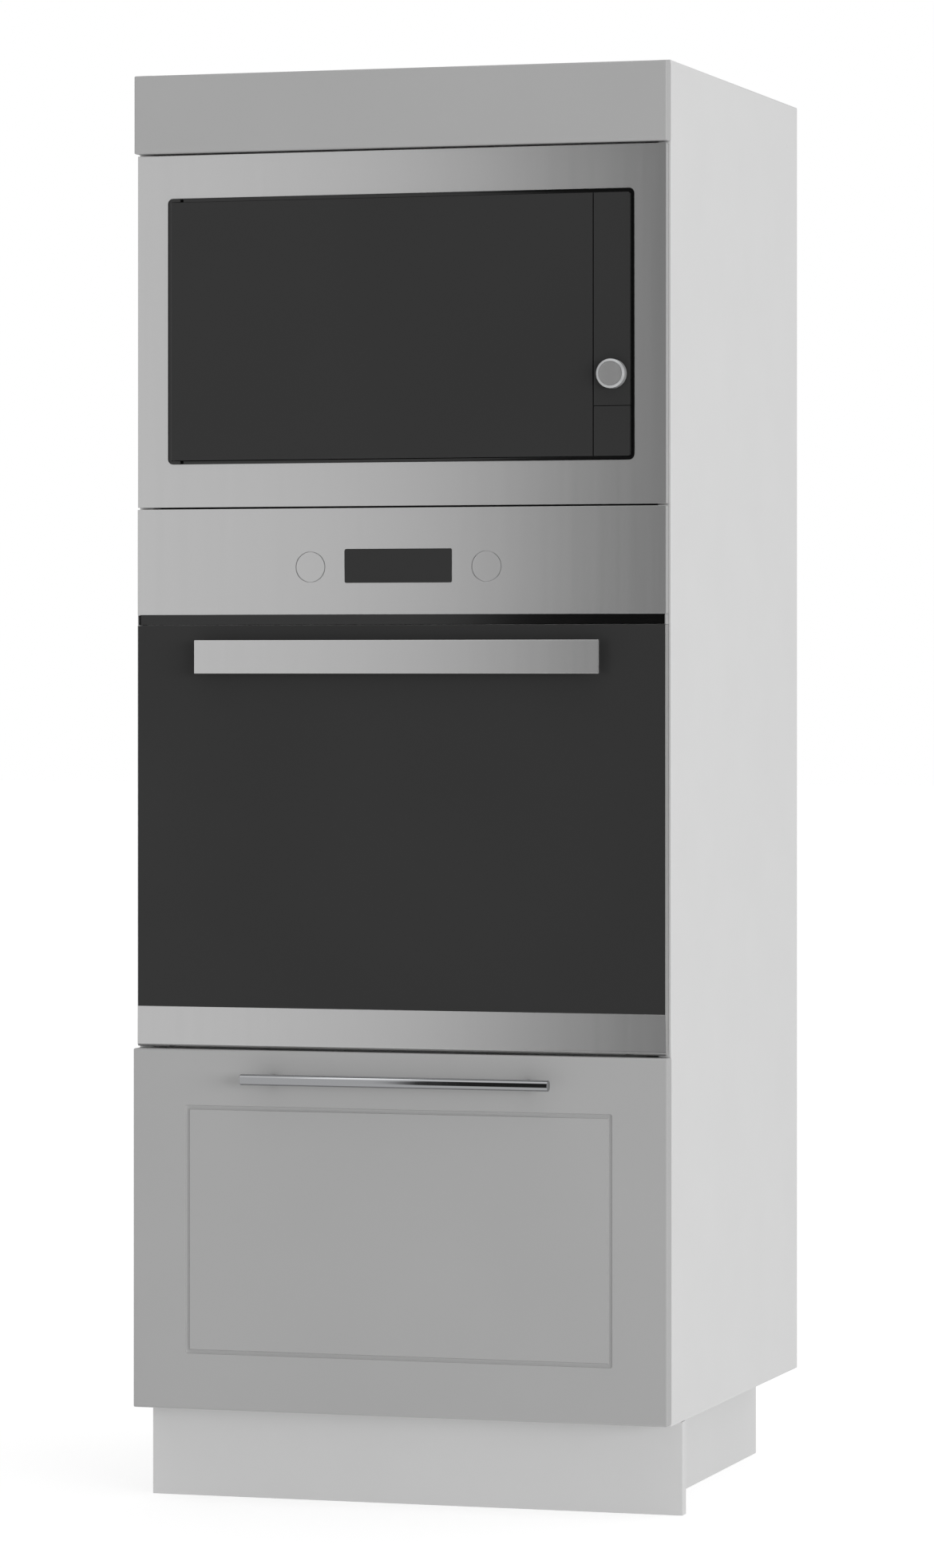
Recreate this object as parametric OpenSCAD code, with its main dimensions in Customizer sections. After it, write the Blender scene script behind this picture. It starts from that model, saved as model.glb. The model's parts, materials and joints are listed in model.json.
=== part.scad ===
// Tall oven housing unit: a 600 mm kitchen cabinet on a plinth, with a deep drawer,
// a built-in oven and a built-in microwave behind a trim frame.
// Units are millimetres. X runs across the front, Y to the back, Z up.
// The origin is on the floor, in the middle of the overall width and depth.

/* [Cabinet] */
// Width of the cabinet over its side panels
cab_w = 600; // [580:1:700]
// Depth of the side panels
carcass_d = 560; // [550:1:620]
// Thickness of the carcass boards
board_t = 16; // [15:1:19]
// Thickness of the hardboard backs
back_t = 3; // [2.5:0.5:5]
// Distance of the hardboard backs from the rear edges
back_inset = 12; // [8:1:20]
// Depth of the grooves that hold the backs
groove_in = 7; // [4:1:9]
// How far the shelves' front edges lie behind the side panels' front edges
shelf_setback = 20; // [16:1:30]
// How far an appliance front hangs over the shelf under it or above it
shelf_cover = 8; // [6:1:10]

/* [Plinth and legs] */
// Height of the plinth
plinth_h = 100; // [90:1:150]
// Thickness of the plinth boards
plinth_t = 16; // [12:1:19]
// Distance of the plinth's face behind the side panels' front edges
plinth_setback = 43; // [30:1:60]
// Distance of the plinth returns inside the cabinet's sides
return_inset = 49; // [30:1:60]
// Distance from a leg's axis to the plinth board beside it
leg_gap = 44; // [36:1:50]
// Distance of the rear legs' axes from the cabinet's rear edges
leg_rear = 55; // [40:1:70]
// Radius of a leg's adjustable stem
leg_stem_r = 15; // [12:1:17]
// Radius of the foot under a leg
foot_r = 25; // [20:1:30]
// Thickness of the foot
foot_t = 8; // [5:1:12]
// Height of the socket that a stem turns into
socket_h = 40; // [30:1:50]
// Wall of the socket and of the clip round it
socket_wall = 3; // [2:0.5:5]

/* [Fronts] */
// Height of the drawer front
drawer_front_h = 390; // [300:1:450]
// Height of the oven's front
oven_front_h = 583; // [560:1:620]
// Height of the microwave's trim frame
mw_front_h = 382; // [370:1:420]
// Height of the fascia panel
fascia_h = 85; // [70:1:140]
// Thickness of the drawer front and of the fascia
front_t = 18; // [16:1:22]
// Gap behind the drawer front
bumper_gap = 2; // [1:0.5:3]
// Gap between one front and the next
reveal = 2; // [1.5:0.5:4]
// How much narrower the fronts are than the cabinet, each side
front_inset = 0; // [0:0.5:3]
// How much further the fascia's sides lie inside than the drawer front's
fascia_inset = 0.9; // [0:0.1:2]
// Rounding of the fronts' edges
front_round = 2.5; // [1:0.5:4]
// Distance of the routed groove's centre line from the drawer front's edges
groove_margin = 62.8; // [50:0.1:80]
// Radius of the routing cutter
groove_r = 2.6; // [2.4:0.1:4]
// Depth of the routed groove
groove_depth = 2.2; // [1.5:0.1:2.4]

/* [Bar handle] */
// How far the bar handle stands out from the drawer front
handle_reach = 30; // [25:1:45]
// Radius of the bar
bar_r = 6; // [5.5:0.5:8]
// Length of the bar
bar_len = 345; // [320:1:400]
// How far the bar's middle lies right of the front's middle
bar_right = 4.2; // [0:0.1:6]
// Distance between the two posts
post_spacing = 286; // [224:1:300]
// Radius of a post
post_r = 5; // [3.5:0.25:5]
// Distance of the bar's axis below the drawer front's top edge
bar_drop = 30; // [20:1:45]

/* [Drawer] */
// Length of the drawer box behind its front
drawer_box_d = 480; // [400:1:500]
// Height of the drawer's metal sides
drawer_side_h = 200; // [120:1:210]
// Thickness of a double-walled side
drawer_side_t = 13; // [10:1:16]
// Sheet thickness of the metal sides
drawer_sheet = 1.5; // [1:0.25:2]
// Gap under the drawer
drawer_lift = 16; // [10:1:25]
// Length of the telescopic runners
runner_len = 500; // [450:1:520]
// Thickness of a runner, across the gap beside the drawer
runner_w = 12.7; // [12.7:0.1:14]
// Height of a runner
runner_h = 45; // [40:1:50]
// Sheet thickness of the runner profiles
runner_sheet = 1.2; // [1:0.1:1.4]
// Height of the runners' centre line above the drawer's lower edge
runner_up = 58; // [45:1:70]

/* [Oven] */
// How far the oven's front stands out from the side panels' front edges
oven_stand = 14; // [13:0.5:16]
// How much narrower the appliances' fronts are than the cabinet, each side
oven_inset = 3; // [2:0.5:4]
// Height of the control panel
panel_h = 114.6; // [105:0.1:125]
// Height of the black vent strip under the control panel
vent_h = 10.9; // [7:0.1:14]
// Recess of the vent strip behind the control panel's face
vent_recess = 4; // [2:0.5:6]
// Height of the steel trim along the door's lower edge
door_trim_h = 43.8; // [36:0.1:60]
// Sheet thickness of the front frame, the casing and the cavity
oven_sheet = 1; // [0.8:0.1:1.2]
// Running gap between the front frame and the closed door
door_gap = 1; // [0.8:0.1:1.5]
// Thickness of the outer glass
outer_glass_t = 4; // [3:0.5:5]
// Thickness of the inner glass
inner_glass_t = 3; // [2:0.5:4]
// Width of the door frame's uprights behind the glass
door_bar = 45; // [35:1:60]
// Width inside the oven cavity
cavity_w = 460; // [420:1:470]
// Depth of the oven cavity
cavity_d = 405; // [380:1:430]
// Height of the cavity's floor above the casing's underside
cavity_lift = 53; // [50:1:60]
// Distance of the cavity's roof below the door's upper edge
cavity_drop = 36; // [32:1:60]
// Depth of the oven's casing
oven_case_d = 525; // [500:1:530]
// Free space between the casings and the cabinet's side panels
case_side_gap = 6; // [4:1:10]
// Free space above the oven's casing
case_top_gap = 7; // [4:1:12]

/* [Oven door hinge] */
// Radius of the hinge pins
hinge_pin_r = 2.5; // [2:0.25:3]
// Distance of the hinge axis above the door's lower edge
hinge_up = 6.5; // [6.5:0.1:7]
// Distance of the hinge arms from the door's side edges
hinge_inset = 40; // [30:1:44]
// Thickness of a hinge arm
hinge_arm_t = 6; // [5:0.5:8]
// Rounding of the door's lower edges
door_round = 4; // [4:0.25:5]

/* [Oven handle] */
// Length of the flat oven handle
flat_handle_len = 453.5; // [400:0.5:520]
// How far the flat handle's middle lies right of the door's middle
flat_handle_right = 1.8; // [0:0.1:4]
// Height of the flat oven handle
flat_handle_h = 36.1; // [25:0.1:40]
// Thickness of the flat oven handle
flat_handle_t = 5; // [4:0.5:7]
// How far the handle's face stands out from the door glass
flat_handle_reach = 20; // [17:0.5:25]
// Distance of the handle's upper edge below the door's upper edge
flat_handle_drop = 16; // [12:0.1:30]
// Width of the two blocks that carry the handle
block_w = 20; // [14:1:30]

/* [Oven controls] */
// Radius of an oven knob
knob_r = 16.25; // [14:0.25:18]
// Ring gap round an oven knob
knob_ring = 0.25; // [0.15:0.05:1]
// Length of an oven knob
knob_len = 30; // [28:1:34]
// Distance of the knobs' axes from the middle
knob_x = 99; // [90:1:140]
// Height of the knobs' axes above the control panel's lower edge
knob_z = 51.3; // [45:0.1:60]
// Radius of every control spindle
spindle_r = 3; // [2.5:0.25:3.5]
// Width of the display glass
display_w = 120.8; // [90:0.1:140]
// Height of the display glass
display_h = 36.6; // [24:0.1:44]

/* [Microwave] */
// How far the trim frame stands out from the side panels' front edges
mw_trim_stand = 13; // [12:0.5:15]
// Width of the trim frame's side members
mw_side_w = 34.7; // [30:0.1:50]
// Height of the trim frame's upper and lower members
mw_rail_h = 46.7; // [40:0.1:55]
// Rounding of the trim frame's window
mw_window_r = 6; // [5:0.5:10]
// Sheet thickness of the trim frame
mw_trim_sheet = 1.5; // [1:0.1:2]
// Width of the black surround between the trim frame and the door
mw_ring = 4.2; // [4:0.1:6]
// How far the door's face stands out from the trim frame
mw_door_proud = 4.4; // [4:0.1:6]
// Thickness of the door and of the control panel beside it
mw_slab_t = 20.4; // [20:0.1:22]
// Thickness of the glass on the microwave's door
mw_glass_t = 1.5; // [1:0.1:1.6]
// Width of the control panel
mw_panel_w = 39.5; // [36:0.1:60]
// Gap between the door and the control panel
mw_split = 1.1; // [1:0.1:1.5]
// Height of the release button
mw_button_h = 53; // [40:1:60]
// Radius of the microwave's knob
mw_knob_r = 15.7; // [12:0.1:16]
// How far the microwave's knob stands out
mw_knob_reach = 11.3; // [8:0.1:14]
// Height of the knob's axis above the release button
mw_knob_up = 34; // [30:1:45]
// Depth of the microwave's casing
mw_case_d = 370; // [350:1:400]
// Depth inside the microwave
mw_cavity_d = 325; // [300:1:340]
// Radius of the turntable
turntable_r = 135; // [120:1:150]

/* [Clearances] */
// Running gap between sliding profiles
play = 0.4; // [0.3:0.05:0.5]
// Radial clearance of a pin or a spindle in its bore
pin_play = 0.05; // [0.03:0.01:0.08]
// Gap round a piece that is set into another
fit = 0.15; // [0.1:0.05:0.2]

/* [Hidden] */
$fn = 64;
over = 1;                                    // how far a cut runs past a face

// heights, from the floor up
carcass_h = drawer_front_h + oven_front_h + mw_front_h + fascia_h + 5 * reveal;
z_top = plinth_h + carcass_h;
z_drawer0 = plinth_h + reveal;
z_drawer1 = z_drawer0 + drawer_front_h;
z_oven0 = z_drawer1 + reveal;
z_oven1 = z_oven0 + oven_front_h;
z_mw0 = z_oven1 + reveal;
z_mw1 = z_mw0 + mw_front_h;
z_fascia0 = z_mw1 + reveal;
z_fascia1 = z_fascia0 + fascia_h;
z_oven_shelf = z_oven0 + shelf_cover - board_t;
z_mw_shelf = z_mw0 + shelf_cover - board_t;
z_niche_top = z_mw1 - shelf_cover;
z_top_panel = z_top - board_t;
board_z = [plinth_h, z_oven_shelf, z_mw_shelf, z_niche_top, z_top_panel];

// depths, from the front back
overall_d = carcass_d + bumper_gap + front_t + handle_reach;
y_back = overall_d / 2;
y_edge = y_back - carcass_d;                 // front edges of the side panels
y_front1 = y_edge - bumper_gap;              // rear face of the drawer front
y_front0 = y_front1 - front_t;               // face of the drawer front
y_hdf0 = y_back - back_inset - back_t;       // front face of the backs
y_hdf1 = y_back - back_inset;

// widths
x_out = cab_w / 2;
x_in = x_out - board_t;                      // inner face of a side panel
x_front = x_out - front_inset;
x_app = x_out - oven_inset;                  // edge of an appliance's front

// cam fittings that hold the boards between the side panels
cam_r = 7.5;
cam_h = 12;
cam_in = 34;                                 // from a board's end to the cam's axis
cam_bolt_r = 3;
cam_bolt_in = 11;                            // depth of the bolt in the side panel
cam_edge = 60;                               // from a board's front or rear edge
cam_y = [y_edge + cam_edge, y_hdf0 - cam_edge];

// plinth and legs
y_plinth0 = y_edge + plinth_setback;
y_plinth1 = y_plinth0 + plinth_t;
x_return1 = x_out - return_inset;
x_return0 = x_return1 - plinth_t;
leg_x = x_return0 - leg_gap;
leg_y = [y_plinth1 + leg_gap, y_back - leg_rear];
socket_r = leg_stem_r + socket_wall;
socket_plate_t = 5;
socket_flange = 12;                          // width of the plate round the socket
socket_plate_r = socket_r + socket_flange;
stem_room = 4;                               // over the stem's upper end
stem_top = plinth_h - socket_plate_t - stem_room;
clip_up = 10;                                // from the socket's lower end to the clip
clip_z = plinth_h - socket_h + clip_up;
clip_h = 12;
clip_arm_w = 10;

// wall rail and the screws that join neighbouring cabinets
wall_hole_r = 4;
wall_hole_in = 34;                           // from a side panel's inner face
wall_hole_x = x_in - wall_hole_in;
join_hole_r = 2.5;
join_edge = 37;                              // from a side panel's front edge and from its back
join_drop = 46;                              // below the oven shelf
join_y = [y_edge + join_edge, y_hdf0 - join_edge];
join_z = [z_oven_shelf - join_drop, (z_niche_top + board_t + z_top_panel) / 2];

// drawer
x_side1 = x_in - runner_w;
x_side0 = x_side1 - drawer_side_t;
z_side0 = plinth_h + board_t + drawer_lift;
z_side1 = z_side0 + drawer_side_h;
lip_w = 12;
lip_up = 8;
z_lip = z_side0 + lip_up;                    // top of the lip that carries the bottom
y_box1 = y_front1 + drawer_box_d;
runner_z = z_side0 + runner_up;
runner_in = 5;                               // behind the side panels' front edges
y_runner0 = y_edge + runner_in;
bar_y = y_front0 - handle_reach + bar_r;
bar_z = z_drawer1 - bar_drop;
post_screw_r = 2;
post_screw_in = 12;
screw_head_r = 4;
screw_head_t = 2.5;

// oven
y_oven0 = y_edge - oven_stand;               // face of the oven
y_frame0 = y_edge - oven_sheet;              // front face of the front frame
y_door1 = y_frame0 - door_gap;               // rear face of the door
z_panel0 = z_oven1 - panel_h;
z_vent0 = z_panel0 - vent_h;
door_top_gap = 0.55;
z_door1 = z_vent0 - door_top_gap;
z_trim1 = z_oven0 + door_trim_h;
glass_lip = 0.8;                             // the door frame's lips cover the glass's edges
x_glass = x_app - glass_lip;
z_case0 = z_oven_shelf + board_t;
z_case1 = z_mw_shelf - case_top_gap;
x_case = x_in - case_side_gap;
x_cav = cavity_w / 2;
z_cav0 = z_case0 + cavity_lift;
z_cav1 = z_door1 - cavity_drop;
y_cav1 = y_edge + cavity_d;                  // inner face of the cavity's rear wall
mouth_r = 14;
trim_skin = 1.5;
seal_w = 6;
seal_out = 5;                                // from the mouth to the seal
seal_air = 0.3;                              // from the seal to the closed door
pane_lap = 10;                               // of the inner pane over its opening
screw_x = (x_in + x_out) / 2;                // fixing screws, in the side panels' edges
fix_r = 1.8;
fix_head_r = 3.4;
fix_head_t = 0.7;
fix_len = 21;
fix_edge = 50;                               // from the levels of the cavity's floor and roof
fix_z = [z_cav0 + fix_edge, z_cav1 - fix_edge];
cable_in = 60;                               // cable holes, from a casing's right-hand side
cable_drop = 40;                             // and below its roof
gland_r = 12;

// oven door hinge
hinge_y = (y_oven0 + y_door1) / 2;
hinge_z = z_oven0 + hinge_up;
hinge_x = x_app - hinge_inset;
hinge_boss_r = 4;
hinge_leg_t = 4;
hinge_leg_h = 34;
hinge_room = 1;                              // gap each side of an arm in its notch
hinge_top_room = 0.5;                        // and above it
hinge_pin_in = 5;                            // depth of a pin in the door, each side
frame_gap = 1.5;                             // from an arm to the front frame above it
z_frame0 = hinge_z + hinge_boss_r + frame_gap;

// oven controls
z_knob = z_panel0 + knob_z;
bulk_gap = 7;                                // from a knob's rear end to its carrier
y_bulk0 = y_oven0 + knob_len + bulk_gap;
bulk_t = 2;
bulk_room = 7;                               // round a knob, inside its carrier
bulk_half = knob_r + bulk_room;
collar_w = 2;
collar_r = spindle_r + collar_w;
collar_t = 3;
spindle_tip = 4;                             // spindle's end behind the knob's face
spindle_tail = 8;
panel_sheet = 1.2;
display_low = 5;                             // display's middle below the panel's middle
display_z0 = z_panel0 + (panel_h - display_h) / 2 - display_low;
display_t = 3;
display_r = 2;

// oven interior
rack_r = 2.5;
rack_fit = 0.3;                              // uprights against the cavity's walls
rack_x = x_cav - rack_r - rack_fit;
rung_x = rack_x - 2 * rack_r + rack_fit;
rack_edge = 50;                              // from the cavity's mouth and from its rear wall
rack_floor = 20;
rack_roof = 40;
rack_y = [y_edge + rack_edge, y_cav1 - rack_edge];
rack_z = [z_cav0 + rack_floor, z_cav1 - rack_roof];
rungs = 4;
rung_end = 15;                               // a rung's ends past the uprights
shelf_rod_r = 3;
shelf_bar_r = 1.5;
shelf_bars = 13;
shelf_over = 5;                              // the shelf's ends past the uprights
shelf_in = 3;                                // shelf's side rods inside the rungs
shelf_x = rung_x - shelf_in;
rung_step = (rack_z[1] - rack_z[0] - 2 * rack_floor) / (rungs - 1);
seat_r = rack_r + shelf_rod_r + fit;         // a shelf rod lies on a rung
shelf_z = rack_z[0] + rack_floor + rung_step + sqrt(seat_r * seat_r - shelf_in * shelf_in);
element_r = 3.5;
element_gap = 6;                             // under the cavity's roof
element_z = z_cav1 - element_r - element_gap;
element_pitch = 70;
element_in = 60;                             // from the cavity's mouth
element_bend_y = 40;                         // from the rear wall to the middle bend
element_y0 = y_edge + element_in;
fan_half = 110;
fan_depth = 14;
fan_wall = 2;
fan_r = 20;
fan_low = 10;                                // fan cover's middle below the cavity's middle
fan_z = (z_cav0 + z_cav1) / 2 - fan_low;
fan_rings = [20, 38, 56];                    // radii of the rings of holes
fan_holes = 12;                              // in each ring
fan_hole_r = 1;                              // of a hole, which grows with its ring
lamp_r = 25;
lamp_depth = 12;
lamp_side = 60;
lamp_drop = 50;
lamp_x = -(x_cav - lamp_side);
lamp_z = z_cav1 - lamp_drop;

// microwave
y_mw0 = y_edge - mw_trim_stand;              // face of the trim frame
y_slab0 = y_mw0 - mw_door_proud;             // face of the door
y_slab1 = y_slab0 + mw_slab_t;               // front face of the chassis plate
x_win = x_app - mw_side_w;
z_win0 = z_mw0 + mw_rail_h;
z_win1 = z_mw1 - mw_rail_h;
ring_top = 0.5;                              // the ring is wider above the door
x_slab = x_win - mw_ring;
z_slab0 = z_win0 + mw_ring;
z_slab1 = z_win1 - mw_ring - ring_top;
slab_r = 2;                                  // corners of the face that door and controls share
mw_edge_r = 3;                               // the door's left edges, which turn past the surround
mw_door_gap = 0.8;                           // behind the closed door
rim_gap = 0.5;                               // slot between the door and the surround
rim_back = 1.5;                              // the surround lies behind the trim's face
plate_t = 3;
x_ctrl0 = x_slab - mw_panel_w;
x_mwd1 = x_ctrl0 - mw_split;                 // free edge of the door
z_button1 = z_slab0 + mw_button_h;
split = 0.6;
button_t = 10.4;
button_stem_r = 4;
mw_knob_right = 1.25;                        // of the control panel's middle
x_mwk = (x_ctrl0 + x_slab) / 2 + mw_knob_right;
z_mwk = z_button1 + mw_knob_up;
mw_pin_r = 2;
mw_pin_len = 8;
mw_axis_in = 4;                              // hinge axis from the door's left edge and face
x_mwh = -x_slab + mw_axis_in;
y_mwh = y_slab0 + mw_axis_in;
tab_r = 3;
tab_air = 0.5;                               // from a pin's tab to the window's edge
z_mwcase0 = z_mw_shelf + board_t;
z_mwcase1 = z_niche_top - case_top_gap;
mw_case_in = 2;                              // behind the side panels' front edges
y_mwcase0 = y_edge + mw_case_in;
mw_wall = 1;
mw_frame_left = 43;                          // round the microwave's mouth
mw_frame_right = 24;
mw_frame_low = 35;
mw_frame_top = 30;
x_mwc0 = -x_slab + mw_frame_left;
x_mwc1 = x_ctrl0 - mw_frame_right;
z_mwc0 = z_slab0 + mw_frame_low;
z_mwc1 = z_slab1 - mw_frame_top;
y_mwc0 = y_slab1 + plate_t;
y_mwc1 = y_mwc0 + mw_cavity_d;
x_tt = (x_mwc0 + x_mwc1) / 2;
y_tt = (y_mwc0 + y_mwc1) / 2;
tt_t = 4;
tt_lift = 7;
tt_rim = 6;
hub_r = 9;
hub_pin_r = 5;

// colours, as the finishes look in plain light
steel = [0.66, 0.66, 0.65];
lacquer = [0.63, 0.63, 0.63];
white_board = [0.84, 0.84, 0.84];
black_glass = [0.13, 0.13, 0.13];
chrome = [0.8, 0.8, 0.8];
zinc = [0.72, 0.73, 0.75];
enamel = [0.16, 0.17, 0.19];
plastic = [0.18, 0.18, 0.18];

// ---- helpers ----

// a box between two corners
module box(low, high) {
    translate(low) cube(high - low);
}

// a shape and its mirror image across the middle of the cabinet
module both_sides() {
    children();
    mirror([1, 0, 0]) children();
}

// round rods along the three axes
module rod_x(x0, x1, y, z, r) {
    translate([x0, y, z]) rotate([0, 90, 0]) cylinder(r = r, h = x1 - x0);
}
module rod_y(x, y0, y1, z, r) {
    translate([x, y0, z]) rotate([-90, 0, 0]) cylinder(r = r, h = y1 - y0);
}
module rod_z(x, y, z0, z1, r) {
    translate([x, y, z0]) cylinder(r = r, h = z1 - z0);
}

// an outline drawn from the front (X, Z), extruded from y0 to y1
module from_front(y0, y1) {
    translate([0, y1, 0]) rotate([90, 0, 0]) linear_extrude(y1 - y0) children();
}

// an outline drawn from the side (Y, Z), extruded from x0 to x1
module from_side(x0, x1) {
    translate([x0, 0, 0]) rotate([90, 0, 90]) linear_extrude(x1 - x0) children();
}

// an outline drawn from above (X, Y), extruded from z0 to z1
module from_above(z0, z1) {
    translate([0, 0, z0]) linear_extrude(z1 - z0) children();
}

// rectangle with four round corners
module round_rect(a0, a1, b0, b1, r) {
    translate([a0 + r, b0]) square([a1 - a0 - 2 * r, b1 - b0]);
    translate([a0, b0 + r]) square([a1 - a0, b1 - b0 - 2 * r]);
    for (a = [a0 + r, a1 - r], b = [b0 + r, b1 - r]) translate([a, b]) circle(r);
}

// panel whose four front edges and corners are rounded
module soft_panel(x0, x1, y0, y1, z0, z1, r) {
    deep = y1 + 2 * r;
    intersection() {
        from_above(z0 - over, z1 + over) round_rect(x0, x1, y0, deep, r);
        from_side(x0 - over, x1 + over) round_rect(y0, deep, z0, z1, r);
        from_front(y0 - over, y1) round_rect(x0, x1, z0, z1, r);
    }
}

// sheet-metal box with an open front
module open_box(low, high, wall) {
    difference() {
        box(low, high);
        box(low + [wall, -over, wall], high - [wall, wall, wall]);
    }
}

// ---- cabinet ----

module cam_bores(z) {
    for (y = cam_y) {
        rod_z(x_in - cam_in, y, z - over, z + cam_h + fit, cam_r + pin_play);
        rod_x(x_in - cam_in, x_in + over, y, z + board_t / 2, cam_bolt_r + pin_play);
    }
}

// board between the side panels, bored for its cams and bolts
module board(z, setback) {
    color(white_board) difference() {
        box([-x_in, y_edge + setback, z], [x_in, y_hdf0, z + board_t]);
        both_sides() cam_bores(z);
    }
}

// right-hand side panel, with its groove, bolt holes, screw holes and joining holes
module side_panel() {
    color(white_board) difference() {
        box([x_in, y_edge, plinth_h], [x_out, y_back, z_top]);
        box([x_in - over, y_hdf0, plinth_h - over], [x_in + groove_in + fit, y_hdf1, z_top + over]);
        for (z = board_z, y = cam_y) {
            rod_x(x_in - over, x_in + cam_bolt_in + fit, y, z + board_t / 2, cam_bolt_r + pin_play);
        }
        for (z = fix_z) rod_y(screw_x, y_edge - over, y_edge + fix_len, z, fix_r + pin_play);
        for (z = join_z, y = join_y) rod_x(x_in - over, x_out + over, y, z, join_hole_r);
    }
}

module side_panel_right() {
    side_panel();
}

module side_panel_left() {
    mirror([1, 0, 0]) side_panel();
}

module bottom_panel() {
    board(plinth_h, 0);
}

module top_panel() {
    board(z_top_panel, 0);
}

module oven_shelf() {
    board(z_oven_shelf, shelf_setback);
}

module microwave_shelf() {
    board(z_mw_shelf, shelf_setback);
}

module niche_top_shelf() {
    board(z_niche_top, shelf_setback);
}

// upright rail that carries the fascia; it stands out by the gap behind the fronts
module fascia_rail() {
    z0 = z_niche_top + board_t;
    color(white_board) box([-x_in, y_front1, z0], [x_in, y_front1 + board_t, z_top_panel]);
}

// lower and upper hardboard backs; the oven's niche stays open behind
module back_panels() {
    half = x_in + groove_in;
    color("ivory") difference() {
        union() {
            box([-half, y_hdf0, plinth_h], [half, y_hdf1, z_case0]);
            box([-half, y_hdf0, z_mw_shelf], [half, y_hdf1, z_top]);
        }
        wall_holes();
    }
}

module wall_holes() {
    z = (z_niche_top + board_t + z_top_panel) / 2;
    for (s = [-1, 1]) rod_y(s * wall_hole_x, y_hdf0 - board_t - over, y_hdf1 + over, z, wall_hole_r);
}

// rail under the top panel that the wall screws go through
module wall_fixing_rail() {
    color(white_board) difference() {
        box([-x_in, y_hdf0 - board_t, z_niche_top + board_t], [x_in, y_hdf0, z_top_panel]);
        wall_holes();
    }
}

module fascia_panel() {
    x = x_front - fascia_inset;
    color(lacquer) soft_panel(-x, x, y_front0, y_front1, z_fascia0, z_fascia1, front_round);
}

// cam barrels in the boards and the bolts that they draw
module cam_fittings() {
    color(zinc) both_sides() for (z = board_z, y = cam_y) {
        rod_z(x_in - cam_in, y, z, z + cam_h, cam_r);
        rod_x(x_in - cam_in + cam_r + fit, x_in + cam_bolt_in, y, z + board_t / 2, cam_bolt_r);
    }
}

// ---- plinth and legs ----

module at_legs() {
    for (s = [-1, 1], y = leg_y) translate([s * leg_x, y, 0]) children();
}

module leg_sockets() {
    color(plastic) at_legs() difference() {
        union() {
            translate([0, 0, plinth_h - socket_h]) cylinder(r = socket_r, h = socket_h);
            translate([0, 0, plinth_h - socket_plate_t]) cylinder(r = socket_plate_r, h = socket_plate_t);
        }
        translate([0, 0, plinth_h - socket_h - over])
            cylinder(r = leg_stem_r + pin_play, h = socket_h + over - socket_plate_t);
    }
}

module leg_feet() {
    color(plastic) at_legs() {
        cylinder(r = foot_r, h = foot_t);
        cylinder(r = leg_stem_r, h = stem_top);
    }
}

module plinth_front() {
    color(white_board) box([-x_out, y_plinth0, 0], [x_out, y_plinth1, plinth_h]);
}

module plinth_returns() {
    color(white_board) both_sides() box([x_return0, y_plinth1, 0], [x_return1, y_back, plinth_h]);
}

// clips round the sockets, with arms to the plinth boards beside them
module plinth_clips() {
    clip_r = socket_r + socket_wall;
    half = clip_arm_w / 2;
    color(plastic) both_sides() for (i = [0, 1]) difference() {
        union() {
            rod_z(leg_x, leg_y[i], clip_z, clip_z + clip_h, clip_r);
            box([leg_x, leg_y[i] - half, clip_z], [x_return0, leg_y[i] + half, clip_z + clip_h]);
            if (i == 0) {
                box([leg_x - half, y_plinth1, clip_z], [leg_x + half, leg_y[i], clip_z + clip_h]);
            }
        }
        rod_z(leg_x, leg_y[i], clip_z - over, clip_z + clip_h + over, socket_r + pin_play);
    }
}

// ---- drawer ----

// routed groove that draws a frame on the drawer front
module routed_groove() {
    x = x_front - groove_margin;
    z0 = z_drawer0 + groove_margin;
    z1 = z_drawer1 - groove_margin;
    y = y_front0 + groove_depth - groove_r;
    for (z = [z0, z1]) rod_x(-x, x, y, z, groove_r);
    for (s = [-1, 1]) rod_z(s * x, y, z0, z1, groove_r);
    for (s = [-1, 1], z = [z0, z1]) translate([s * x, y, z]) sphere(groove_r);
}

module drawer_front() {
    color(lacquer) difference() {
        soft_panel(-x_front, x_front, y_front0, y_front1, z_drawer0, z_drawer1, front_round);
        routed_groove();
        at_posts() rod_y(0, y_front0 - over, y_front1 + over, bar_z, post_screw_r + fit);
    }
}

module drawer_bottom() {
    color(white_board) box([-x_side0, y_front1, z_lip], [x_side0, y_box1, z_lip + board_t]);
}

module drawer_back() {
    color(white_board) box([-x_side0, y_box1 - board_t, z_lip + board_t], [x_side0, y_box1, z_side1]);
}

// double-walled metal sides with a lip under the drawer's bottom
module drawer_sides() {
    color("whitesmoke") both_sides() from_front(y_front1, y_box1) {
        translate([x_side1 - drawer_sheet, z_side0]) square([drawer_sheet, drawer_side_h]);
        translate([x_side0, z_side0]) square([drawer_sheet, drawer_side_h]);
        translate([x_side0, z_side1 - drawer_sheet]) square([drawer_side_t, drawer_sheet]);
        translate([x_side0 - lip_w, z_lip - drawer_sheet]) square([lip_w + drawer_sheet, drawer_sheet]);
    }
}

module at_posts() {
    for (s = [-1, 1]) translate([bar_right + s * post_spacing / 2, 0, 0]) children();
}

module bar_handle() {
    color(chrome) difference() {
        rod_x(bar_right - bar_len / 2, bar_right + bar_len / 2, bar_y, bar_z, bar_r);
        at_posts() rod_y(0, bar_y, bar_y + bar_r + over, bar_z, post_r + pin_play);
    }
}

module handle_posts() {
    color(chrome) at_posts() difference() {
        rod_y(0, bar_y + fit, y_front0, bar_z, post_r);
        rod_y(0, y_front0 - post_screw_in - fit, y_front0 + over, bar_z, post_screw_r + pin_play);
    }
}

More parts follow.
